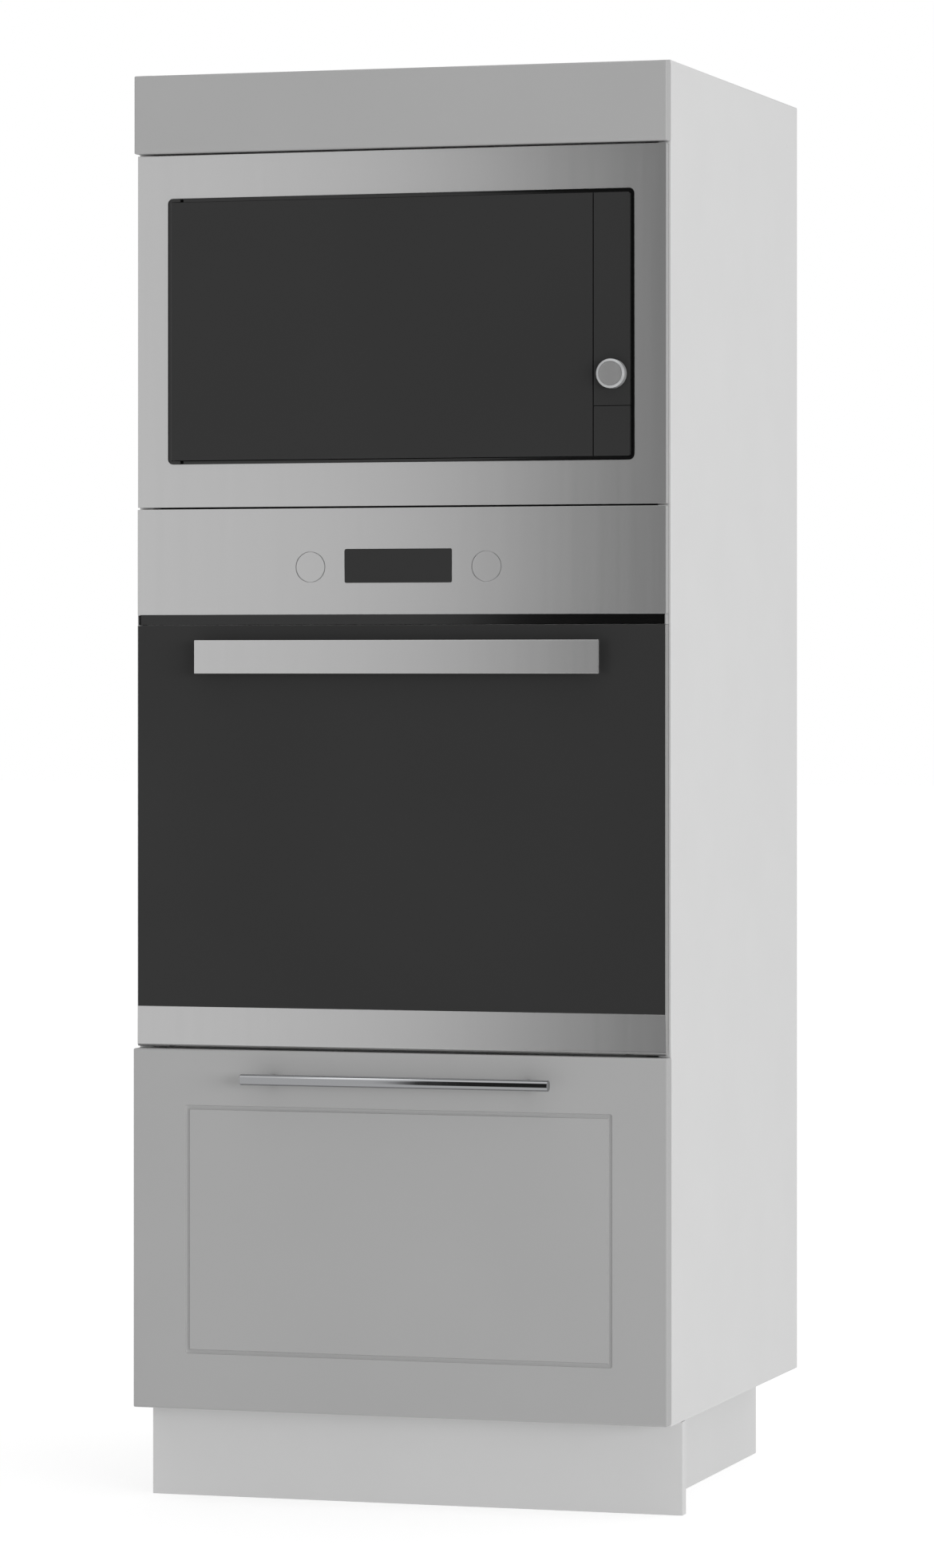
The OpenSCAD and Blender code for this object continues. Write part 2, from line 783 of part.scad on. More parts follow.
module handle_screws() {
    color(zinc) at_posts() {
        rod_y(0, y_front0 - post_screw_in, y_front1 + over, bar_z, post_screw_r);
        rod_y(0, y_front1, y_front1 + screw_head_t, bar_z, screw_head_r);
    }
}

// channel profile of a runner: web from u0, flanges up to u1, both measured from the side panel
module channel(u0, u1, web, h) {
    for (z = [-h / 2, h / 2 - runner_sheet]) {
        translate([x_in - u1, runner_z + z]) square([u1 - u0, runner_sheet]);
    }
    translate([x_in - web - runner_sheet, runner_z - h / 2]) square([runner_sheet, h]);
}

nest = runner_sheet + play;                  // one profile inside the next

module cabinet_runners() {
    color(zinc) both_sides() from_front(y_runner0, y_runner0 + runner_len)
        channel(0, runner_w - 2 * nest, 0, runner_h);
}

module middle_runners() {
    color(zinc) both_sides() from_front(y_runner0, y_runner0 + runner_len)
        channel(nest, runner_w - nest, nest, runner_h - 2 * nest);
}

module drawer_runners() {
    color(zinc) both_sides() from_front(y_runner0, y_box1 - over)
        channel(2 * nest, runner_w, runner_w - runner_sheet, runner_h - 4 * nest);
}

// ---- oven ----

module oven_casing() {
    y1 = y_edge + oven_case_d;
    color(zinc) difference() {
        open_box([-x_case, y_edge, z_case0], [x_case, y1, z_case1], oven_sheet);
        both_sides() box([hinge_x - hinge_arm_t / 2 - fit, y_edge - over, z_case0 - over],
            [hinge_x + hinge_arm_t / 2 + fit, y_edge + hinge_leg_t + fit, z_case0 + oven_sheet + over]);
        rod_y(x_case - cable_in, y1 - oven_sheet - over, y1 + over, z_case1 - cable_drop, gland_r);
    }
}

module oven_cavity() {
    color(enamel) open_box([-x_cav - oven_sheet, y_edge, z_cav0 - oven_sheet],
        [x_cav + oven_sheet, y_cav1 + oven_sheet, z_cav1 + oven_sheet], oven_sheet);
}

// flange screwed to the side panels' edges, with carriers for the two control spindles
module oven_front_frame() {
    color(steel) difference() {
        union() {
            box([-x_app, y_frame0, z_frame0], [x_app, y_edge, z_oven1]);
            both_sides() box([knob_x - bulk_half, y_edge - oven_sheet / 2, z_knob - bulk_half],
                [knob_x + bulk_half, y_bulk0 + bulk_t, z_knob + bulk_half]);
        }
        both_sides() box([knob_x - bulk_half + bulk_t, y_frame0 - over, z_knob - bulk_half + bulk_t],
            [knob_x + bulk_half - bulk_t, y_bulk0, z_knob + bulk_half - bulk_t]);
        both_sides() rod_y(knob_x, y_bulk0 - over, y_bulk0 + bulk_t + over, z_knob, spindle_r + pin_play);
        from_front(y_frame0 - over, y_edge + over) round_rect(-x_cav, x_cav, z_cav0, z_cav1, mouth_r);
        both_sides() for (z = fix_z) rod_y(screw_x, y_frame0 - over, y_edge + over, z, fix_r + pin_play);
    }
}

module oven_control_panel() {
    color(steel) difference() {
        box([-x_app, y_oven0, z_panel0], [x_app, y_frame0, z_oven1]);
        box([-x_app + panel_sheet, y_oven0 + panel_sheet, z_panel0 + panel_sheet],
            [x_app - panel_sheet, y_frame0 + over, z_oven1 - panel_sheet]);
        both_sides() rod_y(knob_x, y_oven0 - over, y_frame0, z_knob, knob_r + knob_ring);
        from_front(y_oven0 - over, y_frame0) round_rect(-display_w / 2, display_w / 2,
            display_z0, display_z0 + display_h, display_r);
    }
}

module oven_display() {
    color(black_glass) from_front(y_oven0 + fit, y_oven0 + display_t)
        round_rect(-display_w / 2 + fit, display_w / 2 - fit, display_z0 + fit,
            display_z0 + display_h - fit, display_r - fit);
}

module oven_vent_strip() {
    color(black_glass) box([-x_app + fit, y_oven0 + vent_recess, z_vent0], [x_app - fit, y_frame0, z_panel0]);
}

// fixed arms whose pins carry the door
module oven_hinge_arms() {
    color(zinc) both_sides() {
        from_side(hinge_x - hinge_arm_t / 2, hinge_x + hinge_arm_t / 2) {
            translate([hinge_y, hinge_z]) circle(hinge_boss_r);
            translate([hinge_y, hinge_z - hinge_boss_r])
                square([y_edge + hinge_leg_t - hinge_y, 2 * hinge_boss_r]);
            translate([y_edge, hinge_z - hinge_boss_r]) square([hinge_leg_t, hinge_leg_h]);
        }
        reach = hinge_arm_t / 2 + hinge_room + hinge_pin_in;
        rod_x(hinge_x - reach, hinge_x + reach, hinge_y, hinge_z, hinge_pin_r);
    }
}

module oven_door_seal() {
    a = seal_out;
    b = seal_out + seal_w;
    color("black") difference() {
        from_front(y_door1 + seal_air, y_frame0)
            round_rect(-x_cav - b, x_cav + b, z_cav0 - b, z_cav1 + b, mouth_r + b);
        from_front(y_door1, y_edge)
            round_rect(-x_cav - a, x_cav + a, z_cav0 - a, z_cav1 + a, mouth_r + a);
    }
}

// wire ladders on the cavity's walls
module oven_side_racks() {
    color(chrome) both_sides() {
        for (y = rack_y) rod_z(rack_x, y, rack_z[0], rack_z[1], rack_r);
        for (i = [0 : rungs - 1]) {
            z = rack_z[0] + rack_floor + i * rung_step;
            rod_y(rung_x, rack_y[0] - rung_end, rack_y[1] + rung_end, z, rack_r);
        }
    }
}

module oven_wire_shelf() {
    y0 = rack_y[0] - shelf_over;
    y1 = rack_y[1] + shelf_over;
    color(chrome) {
        both_sides() {
            rod_y(shelf_x, y0, y1, shelf_z, shelf_rod_r);
            for (y = [y0, y1]) translate([shelf_x, y, shelf_z]) sphere(shelf_rod_r);
        }
        for (y = [y0, y1]) rod_x(-shelf_x, shelf_x, y, shelf_z, shelf_rod_r);
        for (i = [1 : shelf_bars]) {
            rod_y(-shelf_x + i * 2 * shelf_x / (shelf_bars + 1), y0, y1, shelf_z, shelf_bar_r);
        }
    }
}

// bent heating rod under the cavity's roof, plugged through the rear wall
module grill_element() {
    y_bend = y_cav1 - element_bend_y - element_pitch / 2;
    color(zinc) {
        both_sides() {
            rod_y(element_pitch * 3 / 2, element_y0, y_cav1, element_z, element_r);
            rod_y(element_pitch / 2, element_y0, y_bend, element_z, element_r);
            translate([element_pitch, element_y0, element_z]) element_bend(180);
        }
        translate([0, y_bend, element_z]) element_bend(0);
    }
}

module element_bend(turn) {
    rotate([0, 0, turn]) rotate_extrude(angle = 180) translate([element_pitch / 2, 0]) circle(element_r);
}

module oven_fan_cover() {
    y0 = y_cav1 - fan_depth;
    inner = fan_half - fan_wall;
    color(enamel) difference() {
        from_front(y0, y_cav1) round_rect(-fan_half, fan_half, fan_z - fan_half, fan_z + fan_half, fan_r);
        box([-inner, y0 + fan_wall, fan_z - inner], [inner, y_cav1 + over, fan_z + inner]);
        for (ring = fan_rings, a = [0 : 360 / fan_holes : 359]) {
            rod_y(ring * cos(a), y0 - over, y0 + fan_wall + over, fan_z + ring * sin(a),
                ring / fan_holes + fan_hole_r);
        }
    }
}

module oven_lamp() {
    color("lightyellow") rod_y(lamp_x, y_cav1 - lamp_depth, y_cav1, lamp_z, lamp_r);
}

module oven_fixing_screws() {
    color(zinc) both_sides() for (z = fix_z) {
        rod_y(screw_x, y_frame0 - fix_head_t, y_frame0, z, fix_head_r);
        rod_y(screw_x, y_frame0 - fix_head_t / 2, y_edge + fix_len - fit, z, fix_r);
    }
}

// ---- oven door ----

// the door's outer form, rounded along its lower edges
module door_form() {
    from_side(-x_app, x_app) difference() {
        round_rect(y_oven0, y_door1, z_oven0, z_door1 + 2 * door_round, door_round);
        translate([y_oven0 - over, z_door1]) square([oven_stand + 2 * over, 2 * door_round + over]);
    }
}

module oven_door_frame() {
    notch = hinge_arm_t / 2 + hinge_room;
    color(steel) difference() {
        door_form();
        box([-x_glass, y_oven0 - over, z_trim1], [x_glass, y_oven0 + outer_glass_t, z_door1 + over]);
        box([-x_app - over, y_oven0 - over, z_oven0 - over], [x_app + over, y_oven0 + trim_skin, z_trim1]);
        box([-x_app + door_bar, y_oven0, z_trim1 + door_bar / 2],
            [x_app - door_bar, y_door1 + over, z_door1 - door_bar / 2]);
        inner_pane(0, over);
        both_sides() {
            box([hinge_x - notch, y_oven0, z_oven0 - over],
                [hinge_x + notch, y_door1 + over, hinge_z + hinge_boss_r + hinge_top_room]);
            rod_x(hinge_x - notch - hinge_pin_in - fit, hinge_x + notch + hinge_pin_in + fit,
                hinge_y, hinge_z, hinge_pin_r + pin_play);
        }
    }
}

// inner pane set into the rear of the door frame
module inner_pane(gap, past) {
    x = x_app - door_bar + pane_lap - gap;
    box([-x, y_door1 - inner_glass_t, z_trim1 + door_bar / 2 - pane_lap + gap],
        [x, y_door1 + past, z_door1 - door_bar / 2 + pane_lap - gap]);
}

module oven_door_glass() {
    color(black_glass) box([-x_glass, y_oven0, z_trim1], [x_glass, y_oven0 + outer_glass_t, z_door1]);
}

module oven_door_inner_glass() {
    color(black_glass) inner_pane(fit, 0);
}

module oven_door_trim() {
    color(steel) intersection() {
        door_form();
        box([-x_app, y_oven0 - over, z_oven0 - over], [x_app, y_oven0 + trim_skin, z_trim1]);
    }
}

// flat bar on two blocks
module oven_door_handle() {
    y0 = y_oven0 - flat_handle_reach;
    z1 = z_door1 - flat_handle_drop;
    z0 = z1 - flat_handle_h;
    color(steel) {
        translate([flat_handle_right, 0, 0]) {
            box([-flat_handle_len / 2, y0, z0], [flat_handle_len / 2, y0 + flat_handle_t, z1]);
            both_sides() box([flat_handle_len / 2 - 2 * block_w, y0 + flat_handle_t / 2, z0 + flat_handle_h / 4],
                [flat_handle_len / 2 - block_w, y_oven0, z1 - flat_handle_h / 4]);
        }
    }
}

// ---- oven controls ----

// knob that is pushed in flush with the panel and slides out along its spindle
module oven_knob() {
    color(steel) difference() {
        rod_y(knob_x, y_oven0, y_oven0 + knob_len, z_knob, knob_r);
        rod_y(knob_x, y_oven0 + spindle_tip - fit, y_oven0 + knob_len + over, z_knob, spindle_r + pin_play);
    }
}

module oven_knob_right() {
    oven_knob();
}

module oven_knob_left() {
    mirror([1, 0, 0]) oven_knob();
}

// spindle with a collar on each side of its carrier
module oven_spindle() {
    color(zinc) {
        rod_y(knob_x, y_oven0 + spindle_tip, y_bulk0 + bulk_t + spindle_tail, z_knob, spindle_r);
        rod_y(knob_x, y_bulk0 - fit - collar_t, y_bulk0 - fit, z_knob, collar_r);
        rod_y(knob_x, y_bulk0 + bulk_t + fit, y_bulk0 + bulk_t + fit + collar_t, z_knob, collar_r);
    }
}

module oven_spindle_right() {
    oven_spindle();
}

module oven_spindle_left() {
    mirror([1, 0, 0]) oven_spindle();
}

// ---- microwave ----

module microwave_trim_frame() {
    t = mw_trim_sheet;
    color(steel) difference() {
        box([-x_app, y_mw0, z_mw0], [x_app, y_edge, z_mw1]);
        difference() {
            box([-x_app + t, y_mw0 + t, z_mw0 + t], [x_app - t, y_edge + over, z_mw1 - t]);
            from_front(y_mw0, y_mw0 + 2 * t + fit)
                round_rect(-x_win - t, x_win + t, z_win0 - t, z_win1 + t, mw_window_r + t);
        }
        from_front(y_mw0 - over, y_edge + over) round_rect(-x_win, x_win, z_win0, z_win1, mw_window_r);
    }
}

module microwave_casing() {
    y1 = y_mwcase0 + mw_case_d;
    color(zinc) difference() {
        box([-x_case, y_mwcase0, z_mwcase0], [x_case, y1, z_mwcase1]);
        box([-x_case + mw_wall, y_mwcase0 + mw_wall, z_mwcase0 + mw_wall],
            [x_case - mw_wall, y1 - mw_wall, z_mwcase1 - mw_wall]);
        from_front(y_mwcase0 - over, y_mwcase0 + mw_wall + over)
            round_rect(-x_win, x_win, z_win0, z_win1, mw_window_r);
        rod_y(x_case - cable_in, y1 - mw_wall - over, y1 + over, z_mwcase1 - cable_drop, gland_r);
    }
}

module microwave_cavity() {
    color("gainsboro") {
        open_box([x_mwc0 - mw_wall, y_mwc0, z_mwc0 - mw_wall],
            [x_mwc1 + mw_wall, y_mwc1 + mw_wall, z_mwc1 + mw_wall], mw_wall);
        rod_z(x_tt, y_tt, z_mwc0 - mw_wall / 2, z_mwc0 + tt_lift - 2 * fit, hub_r);
        rod_z(x_tt, y_tt, z_mwc0, z_mwc0 + tt_lift + tt_t / 2, hub_pin_r);
    }
}

// black surround and front plate of the microwave, with the door's two hinge pins
module microwave_surround() {
    y_rim = y_mw0 + rim_back;
    gap = rim_gap;
    color(black_glass) {
        difference() {
            from_front(y_rim, y_mwc0) round_rect(-x_win + fit, x_win - fit, z_win0 + fit, z_win1 - fit,
                mw_window_r - fit);
            box([-x_slab - gap, y_rim - over, z_slab0 - gap], [x_slab + gap, y_slab1, z_slab1 + gap]);
            box([x_mwc0, y_slab1 - over, z_mwc0], [x_mwc1, y_mwc0 + over, z_mwc1]);
            rod_y(x_mwk, y_slab1 - over, y_mwc0 + over, z_mwk, spindle_r + pin_play);
            rod_y(x_mwk, y_slab1 - over, y_mwc0 + over, (z_slab0 + z_button1) / 2, button_stem_r + pin_play);
        }
        hinge_pin(z_slab1 + gap, z_win1 - fit - tab_air, z_slab1 + gap - mw_pin_len);
        hinge_pin(z_win0 + fit + tab_air, z_slab0 - gap, z_slab0 - gap);
    }
}

// tab in the ring round the door from z0 to z1, with a pin that starts at zp
module hinge_pin(z0, z1, zp) {
    box([x_mwh - tab_r, y_mwh, z0], [x_mwh + tab_r, y_mw0 + rim_back + over, z1]);
    rod_z(x_mwh, y_mwh, z0, z1, tab_r);
    rod_z(x_mwh, y_mwh, zp, zp + mw_pin_len, mw_pin_r);
}

// outline that the door, the control panel and the release button share
module slab(x0, x1, y0, y1, z0, z1) {
    intersection() {
        from_front(y0, y1) round_rect(-x_slab, x_slab, z_slab0, z_slab1, slab_r);
        box([x0, y0 - over, z0], [x1, y1 + over, z1]);
    }
}

// door body; its left edge is rounded so that it turns clear of the surround
module door_slab(y0, y1) {
    intersection() {
        slab(-x_slab - over, x_mwd1, y0, y1, z_slab0 - over, z_slab1 + over);
        from_above(z_slab0 - over, z_slab1 + over)
            round_rect(-x_slab, x_slab, y_slab0, y_slab0 + 2 * mw_slab_t, mw_edge_r);
    }
}

module microwave_door() {
    bore = mw_pin_r + pin_play;
    color(plastic) difference() {
        door_slab(y_slab0 + mw_glass_t, y_slab1 - mw_door_gap);
        rod_z(x_mwh, y_mwh, z_slab1 - mw_pin_len - fit, z_slab1 + over, bore);
        rod_z(x_mwh, y_mwh, z_slab0 - over, z_slab0 + mw_pin_len + fit, bore);
    }
}

module microwave_door_glass() {
    color(black_glass) door_slab(y_slab0, y_slab0 + mw_glass_t);
}

module microwave_control_panel() {
    color(black_glass) difference() {
        slab(x_ctrl0, x_slab + over, y_slab0, y_slab1, z_button1 + split, z_slab1 + over);
        rod_y(x_mwk, y_slab0 - over, y_slab1 + over, z_mwk, spindle_r + pin_play);
    }
}

module microwave_knob() {
    color(chrome) {
        rod_y(x_mwk, y_slab0 - mw_knob_reach, y_slab0 - play, z_mwk, mw_knob_r);
        rod_y(x_mwk, y_slab0 - over, y_mwc0 + spindle_tail, z_mwk, spindle_r);
    }
}

module microwave_release_button() {
    color(black_glass) {
        slab(x_ctrl0, x_slab + over, y_slab0, y_slab0 + button_t, z_slab0 - over, z_button1);
        rod_y(x_mwk, y_slab0 + button_t - over, y_mwc0 + spindle_tail, (z_slab0 + z_button1) / 2,
            button_stem_r);
    }
}

// glass plate with a raised rim, on the drive hub
module microwave_turntable() {
    z0 = z_mwc0 + tt_lift;
    color("lightcyan") difference() {
        rod_z(x_tt, y_tt, z0, z0 + tt_rim + tt_t, turntable_r);
        rod_z(x_tt, y_tt, z0 + tt_t, z0 + tt_rim + tt_t + over, turntable_r - tt_t);
        rod_z(x_tt, y_tt, z0 - over, z0 + tt_t / 2 + fit, hub_pin_r + pin_play);
    }
}

side_panel_left();
side_panel_right();
bottom_panel();
top_panel();
oven_shelf();
microwave_shelf();
niche_top_shelf();
fascia_rail();
back_panels();
wall_fixing_rail();
fascia_panel();
cam_fittings();
leg_sockets();
leg_feet();
plinth_front();
plinth_returns();
plinth_clips();
drawer_front();
drawer_bottom();
drawer_back();
drawer_sides();
bar_handle();
handle_posts();
handle_screws();
cabinet_runners();
middle_runners();
drawer_runners();
oven_casing();
oven_cavity();
oven_front_frame();
oven_control_panel();
oven_display();
oven_vent_strip();
oven_hinge_arms();
oven_door_seal();
oven_side_racks();
oven_wire_shelf();
grill_element();
oven_fan_cover();
oven_lamp();
oven_fixing_screws();
oven_door_frame();
oven_door_glass();
oven_door_inner_glass();
oven_door_trim();
oven_door_handle();
oven_knob_left();
oven_knob_right();
oven_spindle_left();
oven_spindle_right();
microwave_trim_frame();
microwave_casing();
microwave_cavity();
microwave_surround();
microwave_door();
microwave_door_glass();
microwave_control_panel();
microwave_knob();
microwave_release_button();
microwave_turntable();
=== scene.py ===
# %% [markdown]
# # Tall oven housing unit
#
# The real thing is a 600 mm wide kitchen cabinet, 1550 mm tall, of white melamine-faced board. It
# carries a drawer with a grey lacquered front, a built-in oven and a built-in microwave. The packed
# model gives every part its place and size in metres. This lesson gives those parts the finishes
# and the small rounded edges that make them look made and not drawn, and lights them as in a
# photographer's studio.

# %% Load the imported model
import json
from math import cos, pi, radians, sin

import bmesh
import bpy
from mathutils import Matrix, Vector


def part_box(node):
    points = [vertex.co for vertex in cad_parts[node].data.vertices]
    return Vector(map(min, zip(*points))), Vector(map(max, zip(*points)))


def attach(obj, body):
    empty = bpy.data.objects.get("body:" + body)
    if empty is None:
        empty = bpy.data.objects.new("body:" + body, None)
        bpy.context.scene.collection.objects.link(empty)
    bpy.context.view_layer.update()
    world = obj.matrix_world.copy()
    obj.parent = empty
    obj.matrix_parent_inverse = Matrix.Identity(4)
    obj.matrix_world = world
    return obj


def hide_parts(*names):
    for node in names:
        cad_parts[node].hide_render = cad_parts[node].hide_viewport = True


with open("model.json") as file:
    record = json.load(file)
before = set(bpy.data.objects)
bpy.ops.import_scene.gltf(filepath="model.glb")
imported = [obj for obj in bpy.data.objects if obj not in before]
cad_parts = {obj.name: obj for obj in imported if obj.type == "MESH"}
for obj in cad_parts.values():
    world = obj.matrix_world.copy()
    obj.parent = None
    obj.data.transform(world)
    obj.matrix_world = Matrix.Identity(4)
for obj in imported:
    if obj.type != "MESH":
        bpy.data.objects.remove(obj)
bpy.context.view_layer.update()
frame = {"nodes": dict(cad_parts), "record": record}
nodes = frame["nodes"]
scene = bpy.context.scene
mm = 0.001

# %% [markdown]
# ## The camera
#
# The photograph was taken from the right, 6.6 m away, with a long lens held level. Its upright
# edges stay parallel, as they do when the lens is shifted and the camera isn't tilted. We could
# tilt the camera and accept converging edges, but a level camera with a small vertical shift
# matches better.

# %% Place the camera
lens_data = bpy.data.cameras.new("studio_camera")
lens_data.sensor_width = 36
lens_data.lens = 136.1
lens_data.shift_y = -0.0703
level, heading = radians(90), 0.295
camera = bpy.data.objects.new("studio_camera", lens_data)
camera.location = (1.9196, -6.3322, 0.8987)
camera.rotation_euler = (level, 0, heading)
scene.collection.objects.link(camera)
scene.camera = camera
print("camera at", tuple(round(c, 3) for c in camera.location))

# %% [markdown]
# ## Small tools for node trees
#
# A colour picked on a screen is an sRGB value, while Blender's shaders work with linear light, so
# one function turns a hex value to linear. Node trees get long when each node takes five lines, so
# a second function adds a node, its settings and its links in one call. An input is found by name
# or by number. A third one adds a Math node, which is the node we need most often.

# %% Hex colours, a function that adds a node, and one that calculates
def linear(hex_colour):
    """sRGB hex value, such as "D4D4D4", as linear RGBA."""
    channels = [int(hex_colour[i:i + 2], 16) / 255 for i in (0, 2, 4)]
    return [c / 12.92 if c <= 0.04045 else ((c + 0.055) / 1.055) ** 2.4 for c in channels] + [1.0]


def add(tree, kind, inputs=None, **settings):
    """A new node. inputs maps a socket's name or number to a value or to another socket."""
    node = tree.nodes.new(kind)
    for name, value in settings.items():
        setattr(node, name, value)
    for key, value in (inputs or {}).items():
        if isinstance(value, bpy.types.NodeSocket):
            tree.links.new(value, node.inputs[key])
        else:
            node.inputs[key].default_value = value
    return node


def calculated(tree, operation, *values):
    """The result of a Math node with those values."""
    return add(tree, "ShaderNodeMath", dict(enumerate(values)), operation=operation).outputs[0]


print("mid grey 808080 is", round(linear("808080")[0], 3), "in linear light")

# %% [markdown]
# ## The studio: what the light does
#
# Brushed steel has hardly any colour of its own. What we see on it is a blurred picture of the
# room. In the photograph all the steel goes from pale on the left to dark on the right, so the room
# has a pale wall at the front left, which ends 16 degrees left of straight ahead, and a dark part
# behind the camera. We could stand large cards around the cabinet. A world whose brightness depends
# on the direction does the same, and costs nothing to render.
#
# The room is also pale far to the right, overhead, below and behind the cabinet. One narrow bright
# stripe on the ceiling gives the round bar handle its thin highlight. Only mirror-like rays see all
# this. Rays that light a matt surface see an even, pale room, and the camera sees pure white.

# %% Start the room's tree: directions as angles
world = bpy.data.worlds.new("studio_room")
world.use_nodes = True
scene.world = world
room = world.node_tree
room.nodes.clear()


def scaled(value, factor, plus=0.0):
    """value * factor + plus"""
    return calculated(room, "MULTIPLY_ADD", value, factor, plus)


def brighter(first, second):
    """The larger of two values."""
    return calculated(room, "MAXIMUM", first, second)


def edge(angle, start, end):
    """1 past the end angle, 0 before the start angle, and smooth between them (degrees)."""
    limits = {"Value": angle, "From Min": radians(start), "From Max": radians(end)}
    ramp = add(room, "ShaderNodeMapRange", limits, interpolation_type="SMOOTHSTEP")
    return ramp.outputs["Result"]


seen_from = add(room, "ShaderNodeTexCoord").outputs["Generated"]
towards = add(room, "ShaderNodeVectorMath", {0: seen_from, "Scale": -1.0}, operation="SCALE")
parts = add(room, "ShaderNodeSeparateXYZ", {0: towards.outputs[0]}).outputs
left = calculated(room, "ARCSINE", parts["X"])
height = calculated(room, "ARCSINE", scaled(parts["Z"], -1.0))
right, depth, rear = scaled(left, -1.0), scaled(height, -1.0), scaled(parts["Y"], -1.0)
print("directions: left, right, height, depth and rear")

# %% [markdown]
# Each part of the room is an edge between two angles. The brightnesses are parts of white.

# %% Build the room
pale, dark, behind, ceiling, stripe = 0.90, 0.03, 0.55, 0.25, 0.85
wall_end, right_start, rear_start = (16.0, 16.3), (28, 60), (0, 10)
high_start, low_start, ceiling_start = (43, 50), (30, 40), (46, 54)
stripe_left, stripe_right = (16.4, 16.7), (-17.6, -17.4)

sides = brighter(edge(left, *wall_end), edge(right, *right_start))
above_and_below = brighter(edge(height, *high_start), edge(depth, *low_start))
back = scaled(edge(rear, *rear_start), (behind - dark) / (pale - dark))
pale_room = brighter(brighter(sides, above_and_below), back)
bright_stripe = calculated(room, "MINIMUM", edge(left, *stripe_left), edge(right, *stripe_right))
overhead = calculated(room, "MULTIPLY", edge(height, *ceiling_start),
                      scaled(bright_stripe, stripe, ceiling))
print("the pale wall ends", wall_end[0], "degrees left of the front")

# %% [markdown]
# A white room would wash out every shadow if it lit the cabinet at full strength. So rays that
# light a surface meet about half of white, with more of it on the right and most overhead. One wide
# soft lamp, level and far to the right, adds the rest: the white side then comes out as bright as
# its colour is written, and the grey fronts a little darker, as in the photograph.

# %% Let each kind of ray see its own room
fill_ahead, fill_to_the_left, fill_overhead, fill_rise = 0.55, -0.25, 1.1, (42, 65)
rays = add(room, "ShaderNodeLightPath").outputs
level_fill = scaled(parts["X"], fill_to_the_left, fill_ahead)
fill = add(room, "ShaderNodeMapRange", {"Value": edge(height, *fill_rise), "To Min": level_fill,
                                        "To Max": fill_overhead})
walls = add(room, "ShaderNodeMapRange", {"Value": pale_room, "To Min": dark, "To Max": pale})
mirror = scaled(overhead, 1.0, walls.outputs["Result"])
lit = add(room, "ShaderNodeMix", {0: rays["Is Glossy Ray"], 2: fill.outputs["Result"], 3: mirror})
clear = brighter(rays["Is Camera Ray"], rays["Is Transmission Ray"])
seen = add(room, "ShaderNodeMix", {0: clear, 2: lit.outputs[0], 3: 1.0})
glow = add(room, "ShaderNodeBackground", {"Color": (1, 1, 1, 1), "Strength": seen.outputs[0]})
add(room, "ShaderNodeOutputWorld", {"Surface": glow.outputs[0]})

lamp_distance, lamp_aim, towards_lamp = 14, Vector((0, 0, 0.8)), Vector((0.775, -0.57, 0.06))
key_data = bpy.data.lights.new("softbox", "AREA")
key_data.energy = 630
key_data.shape = "RECTANGLE"
key_data.size, key_data.size_y = 10, 3.5
key = bpy.data.objects.new("softbox", key_data)
key.location = lamp_aim + lamp_distance * towards_lamp
key.rotation_euler = towards_lamp.to_track_quat("Z", "Y").to_euler()
key.visible_glossy = False
scene.collection.objects.link(key)
print("softbox", key_data.energy, "W at", [round(c, 1) for c in key.location])

# %% [markdown]
# ## The floor
#
# The floor is plain and pale. It has to look as white as the background and still carry the soft
# shadow that seats the cabinet on it. A pure white emission would lose the shadow, so the floor is
# a matt, very light surface with some glow, and the camera sees more of the glow than the cabinet
# does.

# %% Lay the floor
floor_glow, floor_glow_seen, half = 0.40, 0.66, 40
floor_finish = bpy.data.materials.new("matt_white_studio_floor")
floor_finish.use_nodes = True
tree = floor_finish.node_tree
paint = tree.nodes["Principled BSDF"]
paint.inputs["Base Color"].default_value = linear("BCBCBC")
paint.inputs["Roughness"].default_value = 0.9
paint.inputs["Specular IOR Level"].default_value = 0.1
camera_ray = add(tree, "ShaderNodeLightPath").outputs["Is Camera Ray"]
lift = add(tree, "ShaderNodeMapRange", {"Value": camera_ray, "To Min": floor_glow,
                                        "To Max": floor_glow_seen})
paint.inputs["Emission Color"].default_value = (1, 1, 1, 1)
tree.links.new(lift.outputs[0], paint.inputs["Emission Strength"])

floor_corners = [(-half, -half, 0), (half, -half, 0), (half, half, 0), (-half, half, 0)]
floor_mesh = bpy.data.meshes.new("studio_floor")
floor_mesh.from_pydata(floor_corners, [], [(0, 1, 2, 3)])
floor_mesh.materials.append(floor_finish)
floor = bpy.data.objects.new("studio_floor", floor_mesh)
floor.visible_glossy = False
scene.collection.objects.link(floor)
scene.view_settings.view_transform = "Standard"
print("floor", 2 * half, "m wide")

# %% [markdown]
# ## Finishes
#
# Each finish is a Principled shader with a few procedural nodes before it. All patterns read Object
# coordinates, which are metres here, so a grain of 0.5 mm has a scale of 2000 per metre. The next
# functions make the shader, a noise and a pattern of cells. We give the sizes in millimetres, and
# the noise has one along each axis, so the same noise can be a fleck or, stretched along one axis,
# the grain of brushed steel.

# %% Start a finish, and patterns sized in millimetres
def finish(name, colour, roughness, metallic=0.0, **sockets):
    """A material, its tree and its Principled node. Further sockets by name, _ for a space."""
    material = bpy.data.materials.new(name)
    material.use_nodes = True
    shader = material.node_tree.nodes["Principled BSDF"]
    shader.inputs["Base Color"].default_value = linear(colour)
    shader.inputs["Roughness"].default_value = roughness
    shader.inputs["Metallic"].default_value = metallic
    for socket, value in sockets.items():
        shader.inputs[socket.replace("_", " ")].default_value = value
    return material, material.node_tree, shader


